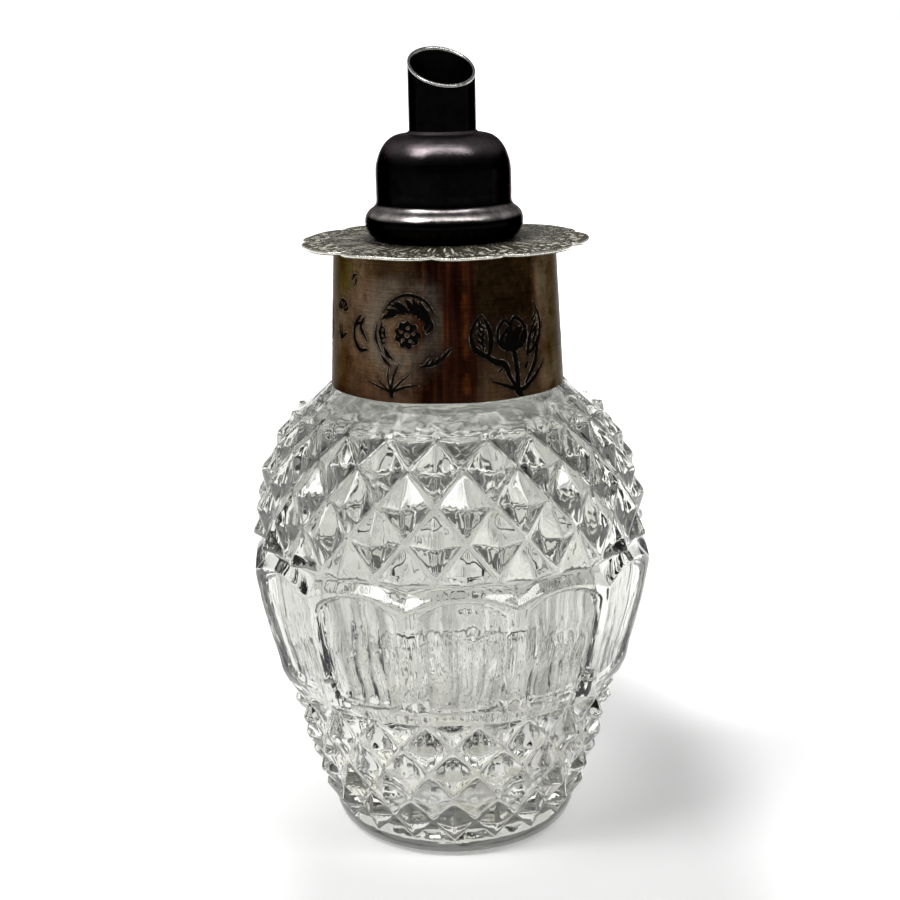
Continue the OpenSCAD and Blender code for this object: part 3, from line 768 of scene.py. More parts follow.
def tulip(rng, flip=1):
    """A closed bud between two long leaves, all growing from one foot."""
    j = lambda s=0.1: float(rng.normal(0, s))
    st = []
    for x0, x1, w in ((-1.9, -1.3, 0.5), (-1.1, -0.2, 0.8), (-0.2, 0.7, 0.9), (0.7, 1.4, 0.8), (1.5, 2.2, 0.5)):
        st.append(([[x0 * 0.35, -2.9], [x0 * 1.0 + j(), -0.9], [x1 + j(), 0.9]], (0.3, w, 0.35)))
    st.append(([[-2.7, -0.8], [-2.5, 1.2], [-1.4, 2.6], [-0.6, 1.7], [0.2, 2.9], [1.3, 2.2], [2.0, 1.0], [2.2, -0.9], [1.1, -2.7]],
               (0.3, 0.32, 0.36, 0.3, 0.4, 0.36, 0.4, 0.5, 0.3)))
    st.append(([[-2.7, -0.9], [-2.0, -2.1], [-0.9, -2.9]], (0.3, 0.5, 0.4)))
    st.append(([[-0.3, 1.5], [-1.1, 0.6], [-0.2, 0.2], [0.6, 0.9]], (0.2, 0.3, 0.3, 0.2)))
    foot = [0.5, -10.6]
    st.append(([[-0.1, -2.9], [0.3, -6.0], foot], (0.6, 0.62, 0.6)))
    # left leaf: an almond with a vein
    st.append(([[-4.2, -3.9], [-6.1, -2.2], [-6.6, 0.6], [-5.6, 3.3], [-5.0, 3.9]], (0.5, 0.6, 0.42, 0.3, 0.1)))
    st.append(([[-4.2, -3.9], [-3.7, -1.4], [-3.9, 1.1], [-4.9, 3.7]], (0.3, 0.62, 0.5, 0.12)))
    st.append(([[-4.9, -2.6], [-5.0, -0.4], [-4.7, 1.6]], (0.12, 0.3, 0.1)))
    st.append(([[-4.2, -3.9], [-3.0, -4.9], [-1.7, -5.4], [-0.9, -7.8], foot], (0.5, 0.75, 0.6, 0.4, 0.35)))
    for k in range(4):
        st.append(([[-4.5, -1.9 + 1.1 * k], [-5.3, -1.2 + 1.1 * k], [-5.9 + 0.15 * k, -0.2 + 1.1 * k]], (0.1, 0.3, 0.12)))
        st.append(([[3.3, -1.8 + 1.2 * k], [4.1, -1.1 + 1.2 * k], [4.8 - 0.1 * k, 0.0 + 1.2 * k]], (0.1, 0.28, 0.12)))
    # right leaf
    st.append(([[2.9, -3.9], [4.9, -1.7], [5.4, 1.6], [4.3, 4.7], [4.0, 5.2]], (0.4, 0.5, 0.42, 0.3, 0.08)))
    st.append(([[2.4, -4.2], [2.9, -1.3], [3.8, 0.9], [4.6, 2.4]], (0.4, 0.5, 0.3, 0.1)))
    st.append(([[3.6, -2.4], [4.2, -0.6], [4.4, 0.8]], (0.3, 0.34, 0.1)))
    st.append(([[4.6, -2.9], [3.8, -6.0], [1.9, -9.3]], (0.45, 0.6, 0.3)))
    st.append(([[5.8, -6.2], [3.9, -8.4], [1.8, -10.2], foot], (0.12, 0.4, 0.5, 0.5)))
    st.append(([[-3.9, -8.2], [-1.9, -9.2], [0.0, -10.2]], (0.12, 0.36, 0.45)))
    st.append(([[-2.6, -6.6], [-1.9, -6.0]], (0.25, 0.1)))
    st.append(([[2.0, -6.4], [2.4, -5.6]], (0.5, 0.2)))
    st.append(([[0.4, -10.6], [0.9, -11.5]], (0.9, 0.6)))
    return [([[1.28 * flip * x, z] for x, z in pts], [1.25 * q for q in w]) for pts, w in st]


def buds(rng, flip=1):
    """Three small loose blossoms."""
    st = []
    for k in range(5):
        t = 20 + 34 * k
        st.append(([[-3.2 + 0.5 * math.cos(math.radians(t)), 2 + 0.5 * math.sin(math.radians(t))],
                    [-3.2 + 1.5 * math.cos(math.radians(t)), 2 + 1.3 * math.sin(math.radians(t))]], (0.2, 0.42)))
    st.append(([[-4.4, 2.6], [-3.4, 3.6], [-2.1, 3.2], [-1.7, 2.2]], (0.1, 0.34, 0.34, 0.1)))
    st.append(([[-0.6, 6.6], [-0.2, 7.4], [0.4, 7.6]], (0.1, 0.4, 0.1)))
    st.append(([[0.0, 5.9], [0.3, 6.8]], (0.1, 0.3)))
    st.append(([[-4.3, -0.2], [-3.6, -1.8], [-1.9, -1.0]], (0.2, 0.6, 0.2)))
    st.append(([[-3.5, 0.3], [-3.3, -1.6]], (0.15, 0.4)))
    st.append(([[1.3, 1.9], [0.2, 0.4], [0.1, -1.3], [1.2, -2.9], [2.6, -2.8]], (0.3, 0.5, 0.45, 0.6, 0.3)))
    st.append(([[2.0, 1.6], [1.4, 0.3], [2.2, -0.9], [2.6, -1.6]], (0.3, 0.5, 0.4, 0.2)))
    st.append(([[0.5, 0.6], [1.3, 0.9]], (0.3, 0.3)))
    return [([[1.35 * flip * x, 1.3 * z] for x, z in pts], [1.15 * q for q in w]) for pts, w in st]


SPRIGS = [(daisy, -19, 102.1, 1), (tulip, 34, 101.6, 1), (buds, -51, 102.4, 1), (daisy, 101, 102.1, -1), (tulip, 152, 102.0, -1),
          (tulip, -100, 102.0, -1), (daisy, -150, 102.0, 1), (buds, 126, 103.4, -1), (buds, 178, 103.2, 1)]


def sleeve_r(z):
    return 22.45 + (21.1 - 22.45) * (np.asarray(z, float) - 89.5) / (116.3 - 89.5)


def build_collar():
    s = Shell()
    na, nz = 640, 122
    ang = -180 + np.arange(na) * 360 / na
    rad = np.radians(ang)
    low = 0.09 * (1 + 0.55 * np.sin(3 * rad + 1) + 0.45 * np.sin(8 * rad + 2.2))
    t = np.linspace(0, 1, nz + 1)
    Z = 89.5 + 0.12 + 26.56 * t[:, None] + low[None, :] * (1 - t[:, None]) ** 3
    cut = np.full(Z.shape, 9.0)
    rng = np.random.default_rng(5)
    for make, a, z, flip in SPRIGS:
        dx = ((ang - a + 180) % 360 - 180) * math.pi / 180 * 21.8
        c = np.nonzero(np.abs(dx) < 11)[0]
        d = strokes_distance(np.tile(dx[c], (nz + 1, 1)), Z[:, c] - z, make(rng, flip))
        if make is daisy:  # light grains left standing in the eye
            for k in range(6):
                hx, hz = polar(1.25 if k else 0.0, 72 * k + 12)
                d = np.maximum(d, (0.42 if k else 0.3) - np.hypot(dx[c][None, :] - hx, (Z[:, c] - z - hz) * 1.2))
        cut[:, c] = np.minimum(cut[:, c], d)
    depth = np.clip((0.04 - cut) / 0.2, 0, 1)
    depth = 0.13 * depth * depth * (3 - 2 * depth)
    burr = 0.035 * np.exp(-(((cut - 0.12) / 0.09) ** 2))
    A, T = np.meshgrid(rad, t)
    dent = 0.028 * np.sin(2 * A + 3 * T + 0.7) + 0.02 * np.sin(5 * A - 4 * T) + 0.012 * np.sin(11 * A + 6 * T + 2) - 0.05
    seam = 0.07 / (1 + np.exp(np.clip((180 - np.abs(np.degrees(A)) - 2.2) / 0.25, -30, 30)))
    R = sleeve_r(Z) + dent + seam * 0.8 - depth + burr
    prev = None
    rings = []
    for i in range(nz + 1):
        ring = s.add(pol(R[i], ang, Z[i]), np.clip(cut[i], -1, 5))
        if prev is not None:
            s.band(prev, ring)
        rings.append(ring)
        prev = ring
    top = s.add(pol(R[-1] - 0.1, ang, np.full(na, 116.3)))
    s.band(prev, top)
    lo1 = s.add(pol(R[0] - 0.04, ang, Z[0] - 0.08))
    s.band(lo1, rings[0])
    lo2 = s.add(pol(R[0] - 0.14, ang, Z[0] - 0.12))
    s.band(lo2, lo1)
    ni = 160
    ia = -180 + np.arange(ni) * 360 / ni
    il = np.interp(ia, ang, Z[0] - 0.12)
    prev = s.add(pol(np.full(ni, 20.66), ia, np.full(ni, 116.3)))
    s.zip(top, ang, prev, ia)
    for u in (0.96, 0.75, 0.5, 0.25, 0.04, 0.0):
        z = il + (116.3 - il) * u
        ring = s.add(pol(sleeve_r(z) - 0.44, ia, z))
        s.band(ring, prev, flip=True)
        prev = ring
    s.zip(prev, ia, lo2, ang)
    return s.mesh("collar", [collar_material()])


def collar_material():
    m, nt, b = material("tarnished_engraved_silver")
    g = G(nt)
    v = g.coords()
    x, y, z = g.xyz(v)
    ang = g.math("ARCTAN2", x, g.math("MULTIPLY", y, -1.0))
    deg = g.math("MULTIPLY", ang, 57.29578)
    arc = g.math("MULTIPLY", ang, 0.0218)
    streak = g.noise(g.vec(arc, g.math("MULTIPLY", z, 0.10), 0.3), 420, 3, 0.6)
    cloud = g.noise(v, 150, 4, 0.6)
    fine = g.noise(v, 900, 3, 0.6)
    brush = g.noise(g.vec(g.math("MULTIPLY", arc, 0.045), z, 1.7), 3300, 3, 0.6)
    d = g.math("ADD", deg, g.math("MULTIPLY_ADD", streak, 16.0, -8.0))
    dz = g.math("ADD", z, g.math("MULTIPLY_ADD", cloud, 0.008, -0.004))
    both = lambda p, q: g.math("MULTIPLY", p, q)
    # worn greys and browns everywhere
    base = g.ramp(cloud, [(0.32, (0.10, 0.068, 0.046)), (0.5, (0.19, 0.145, 0.11)), (0.68, (0.14, 0.115, 0.08))])
    # heavier bands of tarnish round the back, where the light has not shown them
    back = g.span(g.math("ABSOLUTE", deg), 78.0, 96.0)
    base = g.mix(both(back, g.span(streak, 0.5, 0.62, 0, 0.85)), base, (0.04, 0.018, 0.012))
    base = g.mix(both(back, g.span(streak, 0.42, 0.36, 0, 0.7)), base, (0.13, 0.10, 0.045))
    # reddish low on the left, olive above it
    base = g.mix(both(g.span(d, -26.0, -44.0, 0, 0.8), g.span(dz, 0.101, 0.0955)), base, (0.119, 0.078, 0.05))
    base = g.mix(both(g.span(d, -44.0, -56.0, 0, 0.85), g.span(dz, 0.1065, 0.110)), base, (0.12, 0.10, 0.036))
    base = g.mix(both(both(g.span(d, -48.0, -38.0), g.span(d, 0.0, -14.0)), g.span(dz, 0.109, 0.1125, 0, 0.8)), base, (0.06, 0.042, 0.016))
    # the nearly black, rust-red run down the middle with copper lines in it
    lines = g.noise(g.vec(arc, g.math("MULTIPLY", z, 0.03), 0.9), 1100, 2, 0.5)
    rust = g.ramp(lines, [(0.34, (0.013, 0.0022, 0.0016)), (0.5, (0.032, 0.008, 0.006)), (0.6, (0.06, 0.019, 0.009)), (0.72, (0.12, 0.045, 0.014))])
    base = g.mix(g.span(g.math("ABSOLUTE", g.math("SUBTRACT", d, 1.0)), 13.5, 18.0, 0.96, 0.0), base, rust)
    line = both(g.span(g.math("ABSOLUTE", g.math("SUBTRACT", deg, 9.0)), 0.5, 2.6, 0.75, 0.0), g.span(g.noise(v, 260, 3), 0.4, 0.55))
    base = g.mix(line, base, (0.15, 0.055, 0.016))
    # dark olive-brown shoulder of it on the right, thinner near the bottom
    right = both(g.span(d, 13.0, 17.0), g.span(d, 54.0, 47.0))
    base = g.mix(both(right, g.span(dz, 0.095, 0.100, 0.45, 0.97)), base, g.ramp(fine, [(0.35, (0.012, 0.0075, 0.0028)), (0.7, (0.036, 0.024, 0.011))]))
    base = g.mix(both(g.span(d, 50.0, 60.0, 0, 0.6), 1.0), base, (0.13, 0.118, 0.092))
    blotch = g.noise(g.mapped(v, scale=(1, 1, 0.7)), 105, 6, 0.68)
    base = g.mix(1.0, base, (1.75, 1.75, 1.75), "MULTIPLY")
    base = g.mix(1.0, base, g.ramp(blotch, [(0.34, (0.24, 0.19, 0.17)), (0.46, (0.45, 0.41, 0.40)), (0.56, (0.68, 0.66, 0.62)), (0.68, (0.95, 0.95, 0.86))]), "MULTIPLY")
    base = g.mix(both(g.span(g.noise(v, 330, 5, 0.7), 0.56, 0.66), 0.6), base, (0.045, 0.024, 0.014))
    # painted shade under the flange; darker in patches along the lower edge
    base = g.mix(g.span(z, 0.1148, 0.1160, 0, 0.7), base, (0.02, 0.014, 0.008))
    base = g.mix(both(g.span(dz, 0.0925, 0.0905, 0, 0.75), g.span(cloud, 0.4, 0.6)), base, (0.03, 0.018, 0.012))
    base = g.mix(1.0, base, (0.80, 0.66, 0.52), "MULTIPLY")
    # a paler, rubbed place around the open flower
    px, pz = g.math("MULTIPLY", g.math("ADD", deg, 20.0), 0.38), g.math("MULTIPLY_ADD", z, 1000.0, -103.6)
    dist = g.math("ADD", g.math("SQRT", g.math("ADD", both(px, px), both(pz, pz))), g.math("MULTIPLY_ADD", cloud, 6.0, -3.0))
    rub = both(both(g.span(dist, 10.8, 7.0), g.span(dist, 3.5, 6.8)), both(g.span(blotch, 0.38, 0.58, 0.1, 0.75), g.span(d, 0.0, -9.0)))
    base = g.mix(rub, base, (0.19, 0.165, 0.128))
    # painted shade: darker and bluer towards both sides, and darker still on the right, where the sleeve turns away
    # from the light
    base = g.mix(g.span(g.math("ABSOLUTE", deg), 42.0, 66.0, 0, 1), base, g.mix(1.0, base, (0.66, 0.78, 0.98), "MULTIPLY"))
    base = g.mix(g.span(deg, 38.0, 62.0, 0, 1), base, g.mix(1.0, base, (0.72, 0.72, 0.72), "MULTIPLY"))
    # fine turning marks and specks
    base = g.mix(0.75, base, g.ramp(brush, [(0.3, (0.42, 0.42, 0.42)), (0.7, (1.0, 1.0, 1.0))]), "MULTIPLY")
    base = g.mix(g.span(g.voronoi(v, 1000), 0.10, 0.17, 0.55, 0.0), base, (0.015, 0.01, 0.008))
    at = nt.nodes.new("ShaderNodeAttribute")
    at.attribute_name = "mark"
    mark = at.outputs["Fac"]
    halo = both(g.span(mark, 0.8, 0.0, 0, 0.8), g.span(cloud, 0.3, 0.55, 0.35, 1.0))
    base = g.mix(halo, base, (0.018, 0.012, 0.009))
    cut = g.span(mark, 0.05, -0.04, 0, 1, smooth=True)
    edge = both(g.span(mark, 0.04, 0.10), g.span(mark, 0.13, 0.2, 1, 0))
    base = g.mix(both(edge, g.span(fine, 0.47, 0.62, 0, 0.62)), base, (0.30, 0.27, 0.22))
    base = g.mix(cut, base, (0.004, 0.0036, 0.0034))
    g.link(base, b.inputs["Base Color"])
    b.inputs["Metallic"].default_value = 1.0
    b.inputs["Specular Tint"].default_value = (0.46, 0.44, 0.41, 1)
    g.link(g.math("ADD", g.span(brush, 0.3, 0.7, 0.30, 0.42), g.math("MULTIPLY", cut, 0.25)), b.inputs["Roughness"])
    n1 = g.bump(brush, 0.35, 0.00006)
    g.link(g.bump(fine, 0.25, 0.00008, n1), b.inputs["Normal"])
    return m


# ------------------------------------------------------------------- flange
NOTCH = np.array([-88, -47, -5, 24, 64, 104, 146, 189, 231, 272], float)


def flange_edge(a):
    a = -88 + (np.asarray(a, float) + 88) % 360
    k = np.clip(np.searchsorted(NOTCH, a, side="right") - 1, 0, 8)
    t = (a - NOTCH[k]) / (NOTCH[k + 1] - NOTCH[k])
    return 27.38 - 1.7 * np.abs(2 * t - 1) ** 5


def flange_top(r, a):
    t = np.radians(a)
    w = np.clip((r - 21.6) / 5.8, 0, 1) ** 1.5
    return 116.99 - w * (0.17 + 0.07 * np.sin(3 * t + 0.5) + 0.05 * np.sin(7 * t + 2) + 0.03 * np.sin(16 * t))


def build_flange():
    s = Shell()
    na, nr = 560, 62
    ang = -88 + np.arange(na) * 360 / na
    edge = flange_edge(ang)
    t = np.linspace(0, 1, nr + 1)[:, None]
    R = 12.62 + (edge[None, :] - 0.28 - 12.62) * t
    A = np.tile(ang, (nr + 1, 1))
    cut = np.full(R.shape, 9.0)
    rng = np.random.default_rng(8)
    rays = []
    for k in range(72):
        a = -180 + 5 * k + float(rng.normal(0, 0.9))
        lean = float(rng.normal(0, 2.2))
        rays.append((a, lean, 15.4 + float(rng.uniform(0, 1.8)), 21.2 + float(rng.uniform(-1.4, 2.6)), float(rng.uniform(0.22, 0.42))))
    for a, lean, r0, r1, w in rays:
        dx = ((A - a - lean * (R - r0) / (r1 - r0) + 180) % 360 - 180) * math.pi / 180 * R
        k = np.clip((R - r0) / (r1 - r0), 0, 1)
        d = np.hypot(dx, np.maximum(np.maximum(r0 - R, R - r1), 0)) - w * np.sin(np.pi * (0.12 + 0.8 * k)) / 2
        cut = np.minimum(cut, d)
    for k in range(9):  # a garland of small arcs inside each lobe
        a0, a1 = NOTCH[k] + 3, NOTCH[k + 1] - 3
        u = (((A - a0 + 180) % 360) - 180) / (a1 - a0)
        rr = 23.0 + 1.9 * np.sin(np.pi * np.clip(u, 0, 1))
        d = np.where((u > 0) & (u < 1), np.abs(R - rr) - 0.1, 9)
        dash = 0.5 + 0.5 * np.sin(u * (a1 - a0) * 1.9 + k)
        cut = np.minimum(cut, d + 0.22 * (dash < 0.4))
    dep = np.clip((0.05 - cut) / 0.18, 0, 1)
    Z = flange_top(R, A) - 0.06 * dep
    prev = None
    rows = []
    for i in range(nr + 1):
        ring = s.add(pol(R[i], ang, Z[i]), np.clip(cut[i], -0.9, 5))
        if prev is not None:
            s.band(ring, prev)
        rows.append(ring)
        prev = ring
    zt = Z[-1]
    for dr, dz in ((0.16, 0.03), (0.06, 0.10), (0.0, 0.24), (0.0, 0.46), (0.06, 0.6), (0.18, 0.68), (0.4, 0.7)):
        ring = s.add(pol(edge - dr, ang, zt - dz), -2.0 if 0.02 < dz < 0.5 else 9.0)
        s.band(ring, prev)
        prev = ring
    for u in (0.92, 0.8, 0.62, 0.44, 0.2, 0.0):
        r = 12.62 + (edge - 0.4 - 12.62) * u
        ring = s.add(pol(r, ang, flange_top(r, ang) - 0.69))
        s.band(ring, prev)
        prev = ring
    s.band(rows[0], prev)
    return s.mesh("flange", [flange_material()])


def flange_material():
    m, nt, b = material("engraved_flange")
    g = G(nt)
    v = g.coords()
    x, y, z = g.xyz(v)
    ang = g.math("ARCTAN2", x, g.math("MULTIPLY", y, -1.0))
    r = g.math("SQRT", g.math("ADD", g.math("MULTIPLY", x, x), g.math("MULTIPLY", y, y)))
    both = lambda p, q: g.math("MULTIPLY", p, q)
    cloud = g.noise(v, 240, 4, 0.6)
    fine = g.noise(v, 1500, 3, 0.6)
    base = g.ramp(cloud, [(0.3, (0.12, 0.110, 0.069)), (0.55, (0.23, 0.209, 0.143)), (0.72, (0.32, 0.29, 0.20))])
    base = g.mix(0.6, base, g.ramp(fine, [(0.35, (0.45, 0.45, 0.42)), (0.65, (1.0, 1.0, 1.0))]), "MULTIPLY")
    # painted shade: darker on the inner ring next to the cap
    base = g.mix(g.span(r, 0.0168, 0.0150, 0, 0.75), base, (0.03, 0.026, 0.018))
    # punched dots in a ring near the edge; they and the cut lines are given a pale, non-metallic colour below: painted
    # glints
    place = g.vec(g.math("MULTIPLY", ang, 0.0242), g.math("MULTIPLY", r, 0.62), 0.0)
    dot = g.voronoi(place, 1150, rnd=0.75)
    ring = both(g.span(r, 0.0212, 0.0222), g.span(r, 0.0268, 0.0262))
    dots = both(both(g.span(dot, 0.45, 0.38, 0, 1), ring), g.span(g.noise(v, 420, 2), 0.38, 0.5, 0.25, 1.0))
    small = both(g.span(g.voronoi(place, 1700, rnd=0.9), 0.36, 0.26, 0, 1), g.span(g.noise(v, 520, 2), 0.42, 0.55))
    at = nt.nodes.new("ShaderNodeAttribute")
    at.attribute_name = "mark"
    mark = at.outputs["Fac"]
    rim = g.span(mark, -1.0, -1.6, 0, 1)
    cut = both(g.span(mark, 0.05, -0.03, 0, 1, smooth=True), g.math("SUBTRACT", 1.0, rim))
    # painted glints: dots, small dots and cuts get a near-white, non-metallic colour, as where they catch the light
    painted_glints = g.math("MAXIMUM", dots, g.math("MAXIMUM", both(small, 0.7), cut))
    base = g.mix(painted_glints, base, (0.93, 0.9, 0.76))
    base = g.mix(both(rim, g.span(cloud, 0.3, 0.5, 0.6, 1.0)), base, (0.85, 0.82, 0.74))
    # painted shade on the underside of the flange, short of the rim
    underside_shade = g.span(z, 0.11645, 0.1163, 0, 0.8)
    base = g.mix(both(underside_shade, g.math("SUBTRACT", 1.0, rim)), base, (0.05, 0.042, 0.026))
    g.link(base, b.inputs["Base Color"])
    g.link(g.span(painted_glints, 0.0, 1.0, 0.9, 0.05), b.inputs["Metallic"])
    g.link(g.math("ADD", g.span(fine, 0.3, 0.7, 0.34, 0.5), g.math("MULTIPLY", rim, -0.14)), b.inputs["Roughness"])
    h = g.math("SUBTRACT", fine, g.math("MULTIPLY", g.math("MAXIMUM", dots, small), 1.6))
    g.link(g.bump(h, 0.8, 0.00012), b.inputs["Normal"])
    return m


# ----------------------------------------------------- cap, tube, cork, disc
BASE_Z = 117.05
CAP_OUT = [[13.3, BASE_Z], [14.2, BASE_Z + 1], [14.8, BASE_Z + 2.2], [15, BASE_Z + 3.4], [14.75, BASE_Z + 4.5], [14.1, BASE_Z + 5.4],
           [13.3, BASE_Z + 6], [12.85, BASE_Z + 6.8], [12.8, BASE_Z + 9], [12.7, 130.6], [12.35, 132], [11.75, 133.5], [10.8, 134.9],
           [9.4, 136], [7.9, 136.45], [6.32, 136.5]]


def offset_in(q, t):
    d = np.gradient(q, axis=0)
    d /= np.linalg.norm(d, axis=1)[:, None]
    return q + np.stack([-d[:, 1], d[:, 0]], -1) * t


def build_cap():
    out = curve_points(CAP_OUT, 120)
    mid = offset_in(curve_points(CAP_OUT, 50), 0.58)[::-1]
    mid = [[6.32, 135.92]] + [list(q) for q in mid if q[0] > 6.6 and q[1] > BASE_Z + 0.4] + [[12.72, BASE_Z]]

    def wob(a, r, z):
        t = np.radians(a)
        k = 0.05 * np.sin(2 * t + 0.4) + 0.03 * np.sin(5 * t + z * 0.5) + 0.02 * np.sin(9 * t - z * 0.3)
        return r + np.where((z > 119) & (z < 135) & (r > 8), 0.5 * k - 0.02, 0), z

    return lathe("cap", [list(q) for q in out] + mid, 180, [M_DARK], wob=wob)


def build_tube():
    s = Shell()
    na = 168
    ang = np.arange(na) * 360 / na
    full = lambda x: np.full(na, float(x))
    cutz = lambda r: 148.8 - r * np.sin(np.radians(ang)) * math.tan(math.radians(9.03)) - r * np.cos(np.radians(ang)) * math.tan(
        math.radians(27.15)) / math.cos(math.radians(9.03))
    first = s.add(pol(full(5.82), ang, full(96.1)))
    prev = first
    rows = [(6.0, 96.0), (7.3, 96.0), (7.52, 96.1), (7.6, 96.35), (7.56, 96.6), (7.4, 96.78), (6.6, 96.8), (6.3, 96.84)]
    rows += [(6.3, z) for z in np.linspace(97.5, 140, 40)]
    for r, z in rows:
        ring = s.add(pol(full(r), ang, full(z)))
        s.band(prev, ring)
        prev = ring
    for t in np.linspace(0.1, 1, 10):
        ring = s.add(pol(full(6.3), ang, 140 + (cutz(6.3) - 0.42 - 140) * t))
        s.band(prev, ring)
        prev = ring
    for i, (r, dz) in enumerate([(6.3, 0.2), (6.285, 0.1), (6.23, 0.03), (6.14, 0.0), (6.04, 0.0), (5.93, 0.02), (5.85, 0.09), (5.81, 0.2), (5.8, 0.42)]):
        ring = s.add(pol(full(r), ang, cutz(r) - dz))
        s.band(prev, ring, mat=1)
        prev = ring
    for z in [143, 141, 139, 136, 132, 127, 121, 115, 109, 103, 98, 96.6]:
        ring = s.add(pol(full(5.8), ang, np.minimum(full(z), cutz(5.8) - 0.6)))
        s.band(ring, prev, flip=True, mat=2)
        prev = ring
    s.band(first, prev, flip=True, mat=2)
    return s.mesh("tube", [M_DARK, M_RIM, M_BLACK])


def build_cork():
    rng = np.random.default_rng(3)
    bore = lambda z: 11.45 + (12.05 - 11.45) * (z - 98) / (116.2 - 98) - 0.05
    prof = [(6.37, 98.0), (8.5, 98.0), (10.2, 98.0), (10.65, 98.03)]
    prof += [(bore(98.6) - 0.42, 98.2), (bore(98.6) - 0.14, 98.42)]
    prof += [(float(bore(z)) - 0.01, float(z)) for z in np.linspace(98.7, 116.7, 54)]
    prof += [(bore(117) - 0.08, 116.92), (bore(117) - 0.25, 117.0), (10, 117.0), (8, 117.0), (6.37, 117.0), (6.37, 112), (6.37, 106), (6.37, 102)]
    pits = [(float(rng.uniform(0, 360)), float(rng.uniform(98.4, 117)), float(rng.uniform(0.25, 0.8)), float(rng.uniform(0.6, 2.2)), float(rng.uniform(0.08, 0.3)))
            for _ in range(240)]

    def wob(a, r, z):
        if r[0] < 10.9:
            return r, z
        d = 0 * r
        for pa, pz, w, h, k in pits:
            if abs(pz - z[0]) < 2.5 * h:
                x = ((a - pa + 180) % 360 - 180) * math.pi / 180 * 11.7
                d = np.maximum(d, k * np.exp(-((x / w) ** 2) - ((z - pz) / h) ** 2))
        return r - d, z

    return lathe("cork", prof, 220, [M_CORK], wob=wob)


def build_washer():
    prof = [(6.32, 96.8), (9.2, 96.8), (9.45, 96.86), (9.58, 97.0), (9.6, 97.3), (9.58, 97.7), (9.45, 97.88), (9.2, 97.95), (6.32, 97.95)]
    return lathe("washer", prof, 120, [M_WASHER], wob=lambda a, r, z: (r - np.where(r > 9, 0.05 + 0.04 * np.sin(np.radians(5 * a)) * np.sin(np.radians(3 * a + 40)), 0), z))


for ob, body, node, slot in ((build_collar(), "bottle", "collar_sleeve", "tarnished_silver"), (build_flange(), "bottle", "flange_plate", "engraved_silver"),
                             (build_cap(), "pourer", "pourer_cap", "dark_metal"), (build_tube(), "pourer", "spout_tube", "dark_metal"),
                             (build_cork(), "stopper", "cork_stopper", "cork"), (build_washer(), "pourer", "end_washer", "washer_brass")):
    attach(ob, body)
    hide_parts(node)

# ------------------------------------------------------- carried-over nodes
for node, mat in (("neck_bedding", M_PLASTER), ("flange_solder", M_SOLDER), ("cap_base", M_DARK), ("tube_solder", M_DARK),
                  ("base_solder", M_SOLDER)):
    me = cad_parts[node].data
    me.materials.clear()
    me.materials.append(mat)

# ------------------------------------------------------------ stage, lights
bpy.context.scene.view_settings.view_transform = "Standard"
FLOOR_R = 60.0
fa = [TAU * i / 96 for i in range(96)]
bm_floor = bpy.data.meshes.new("floor")
bm_floor.from_pydata([(FLOOR_R * math.cos(t), FLOOR_R * math.sin(t), 0) for t in fa], [], [tuple(range(96))])
floor = bpy.data.objects.new("floor", bm_floor)
bpy.context.scene.collection.objects.link(floor)
mf, nt, b = material("floor_with_painted_light")
g = G(nt)
v = g.coords()
x, y, z = g.xyz(v)
g.link(g.ramp(g.noise(v, 9, 3), [(0.3, (0.88, 0.88, 0.875)), (0.7, (0.91, 0.91, 0.905))]), b.inputs["Base Color"])
b.inputs["Roughness"].default_value = 0.85
b.inputs["Specular IOR Level"].default_value = 0.2
# the floor glows with painted light: it rises towards the back and both sides, fills in the bottle's cast shadow to the
# right, and a painted pool of light lies just behind the foot
b.inputs["Emission Color"].default_value = (1, 1, 1, 1)
painted_floor_light = g.math("ADD", g.span(y, -0.14, -0.03, 0, 0.13, smooth=True), g.span(y, -0.02, 0.13, 0, 0.36, smooth=True))
# painted light over the cast shadow to the right and back, and along both sides
painted_floor_light = g.math("ADD", painted_floor_light, g.math("ADD", g.span(y, 0.1, 0.4, 0, 0.16), g.math("MULTIPLY", g.span(y, 0.026, 0.064, 0, 0.42, smooth=True), g.span(x, 0.032, 0.056))))
painted_floor_light = g.math("ADD", painted_floor_light, g.math("ADD", g.span(x, 0.046, 0.072, 0, 0.3, smooth=True), g.span(x, -0.022, -0.046, 0, 0.3, smooth=True)))
# painted pool of light behind the foot, standing in for light the glass would pass
fx, fy = g.math("MULTIPLY", x, 1.25), g.math("SUBTRACT", y, 0.024)
painted_light_pool = g.span(g.math("SQRT", g.math("ADD", g.math("MULTIPLY", fx, fx), g.math("MULTIPLY", fy, fy))), 0.062, 0.025, 0, 0.34, smooth=True)
g.link(g.math("ADD", g.math("ADD", painted_floor_light, painted_light_pool), g.span(y, 0.4, 2.1, 0, 0.35)), b.inputs["Emission Strength"])
bm_floor.materials.append(mf)

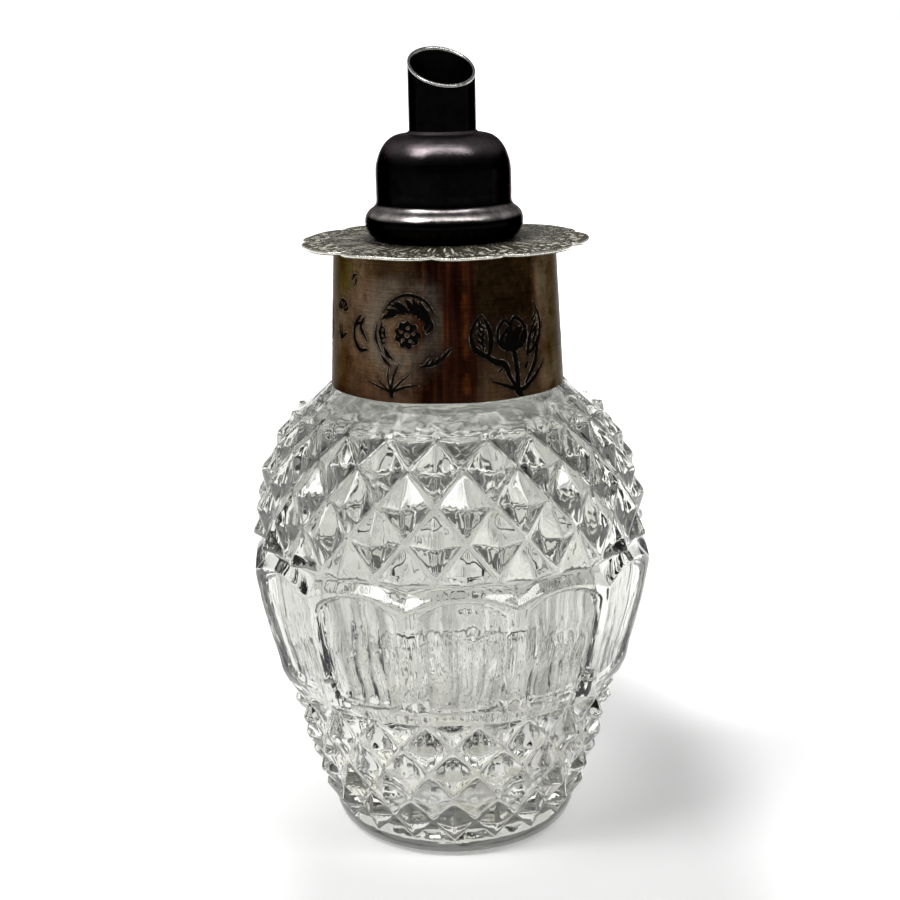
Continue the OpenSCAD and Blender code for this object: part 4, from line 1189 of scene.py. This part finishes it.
# a white sweep at the skyline under a grey ceiling
world = bpy.data.worlds.new("studio")
bpy.context.scene.world = world
world.use_nodes = True
wt = world.node_tree
g = G(wt)
wx, wy, up = g.xyz(wt.nodes.new("ShaderNodeTexCoord").outputs["Generated"])
bg = wt.nodes["Background"]
sky = g.ramp(up, [(0.0, (1.0, 1.0, 1.0)), (0.016, (1.0, 1.0, 1.0)), (0.032, (0.19, 0.19, 0.192)), (0.12, (0.19, 0.19, 0.192)), (0.35, (0.21, 0.21, 0.212)), (1.0, (0.13, 0.13, 0.132))])
side = g.math("MULTIPLY", g.math("ADD", g.span(wx, -0.45, -0.85, 0, 0.5, smooth=True), g.span(wx, 0.45, 0.85, 0, 0.15, smooth=True)), g.span(up, 0.75, 0.35, 0, 1))
g.link(g.mix(side, sky, (0.62, 0.62, 0.62)), bg.inputs[0])
bg.inputs[1].default_value = 1.0


def area(name, loc, target, size, radiance, size_y=None, color=(1, 1, 1)):
    """A softbox: size and size_y in metres, radiance of its face."""
    d = bpy.data.lights.new(name, "AREA")
    d.shape = "RECTANGLE"
    d.size = size
    d.size_y = size_y or size
    d.energy = radiance * math.pi * d.size * d.size_y
    d.color = color
    o = bpy.data.objects.new(name, d)
    o.location = loc
    o.rotation_mode = "QUATERNION"
    o.rotation_quaternion = (Vector(target) - Vector(loc)).to_track_quat("-Z", "Y")
    bpy.context.scene.collection.objects.link(o)
    return o


area("strip_top", (0.0, -0.50, 1.13), (0, 0, 0.1), 1.8, 10.5, 0.14)
area("key_left", (-0.72, -0.48, 1.1), (0, 0, 0.05), 0.5, 8.0, 0.5)

# ------------------------------------------------------------------- camera
cd = bpy.data.cameras.new("view")
cam = bpy.data.objects.new("view", cd)
bpy.context.scene.collection.objects.link(cam)
cd.sensor_width = 36.0
cd.sensor_fit = "HORIZONTAL"
cd.lens = 1700.0 / 900.0 * 36.0
cd.clip_start, cd.clip_end = 0.01, 20
cam.location = (0.00023, -0.3221, 0.1578)
pitch, roll = math.radians(14.36), math.radians(-1.12)
cam.rotation_mode = "QUATERNION"
cam.rotation_quaternion = (Matrix.Rotation(math.radians(90) - pitch, 3, "X") @ Matrix.Rotation(roll, 3, "Z")).to_quaternion()
bpy.context.scene.camera = cam

bpy.context.view_layer.update()
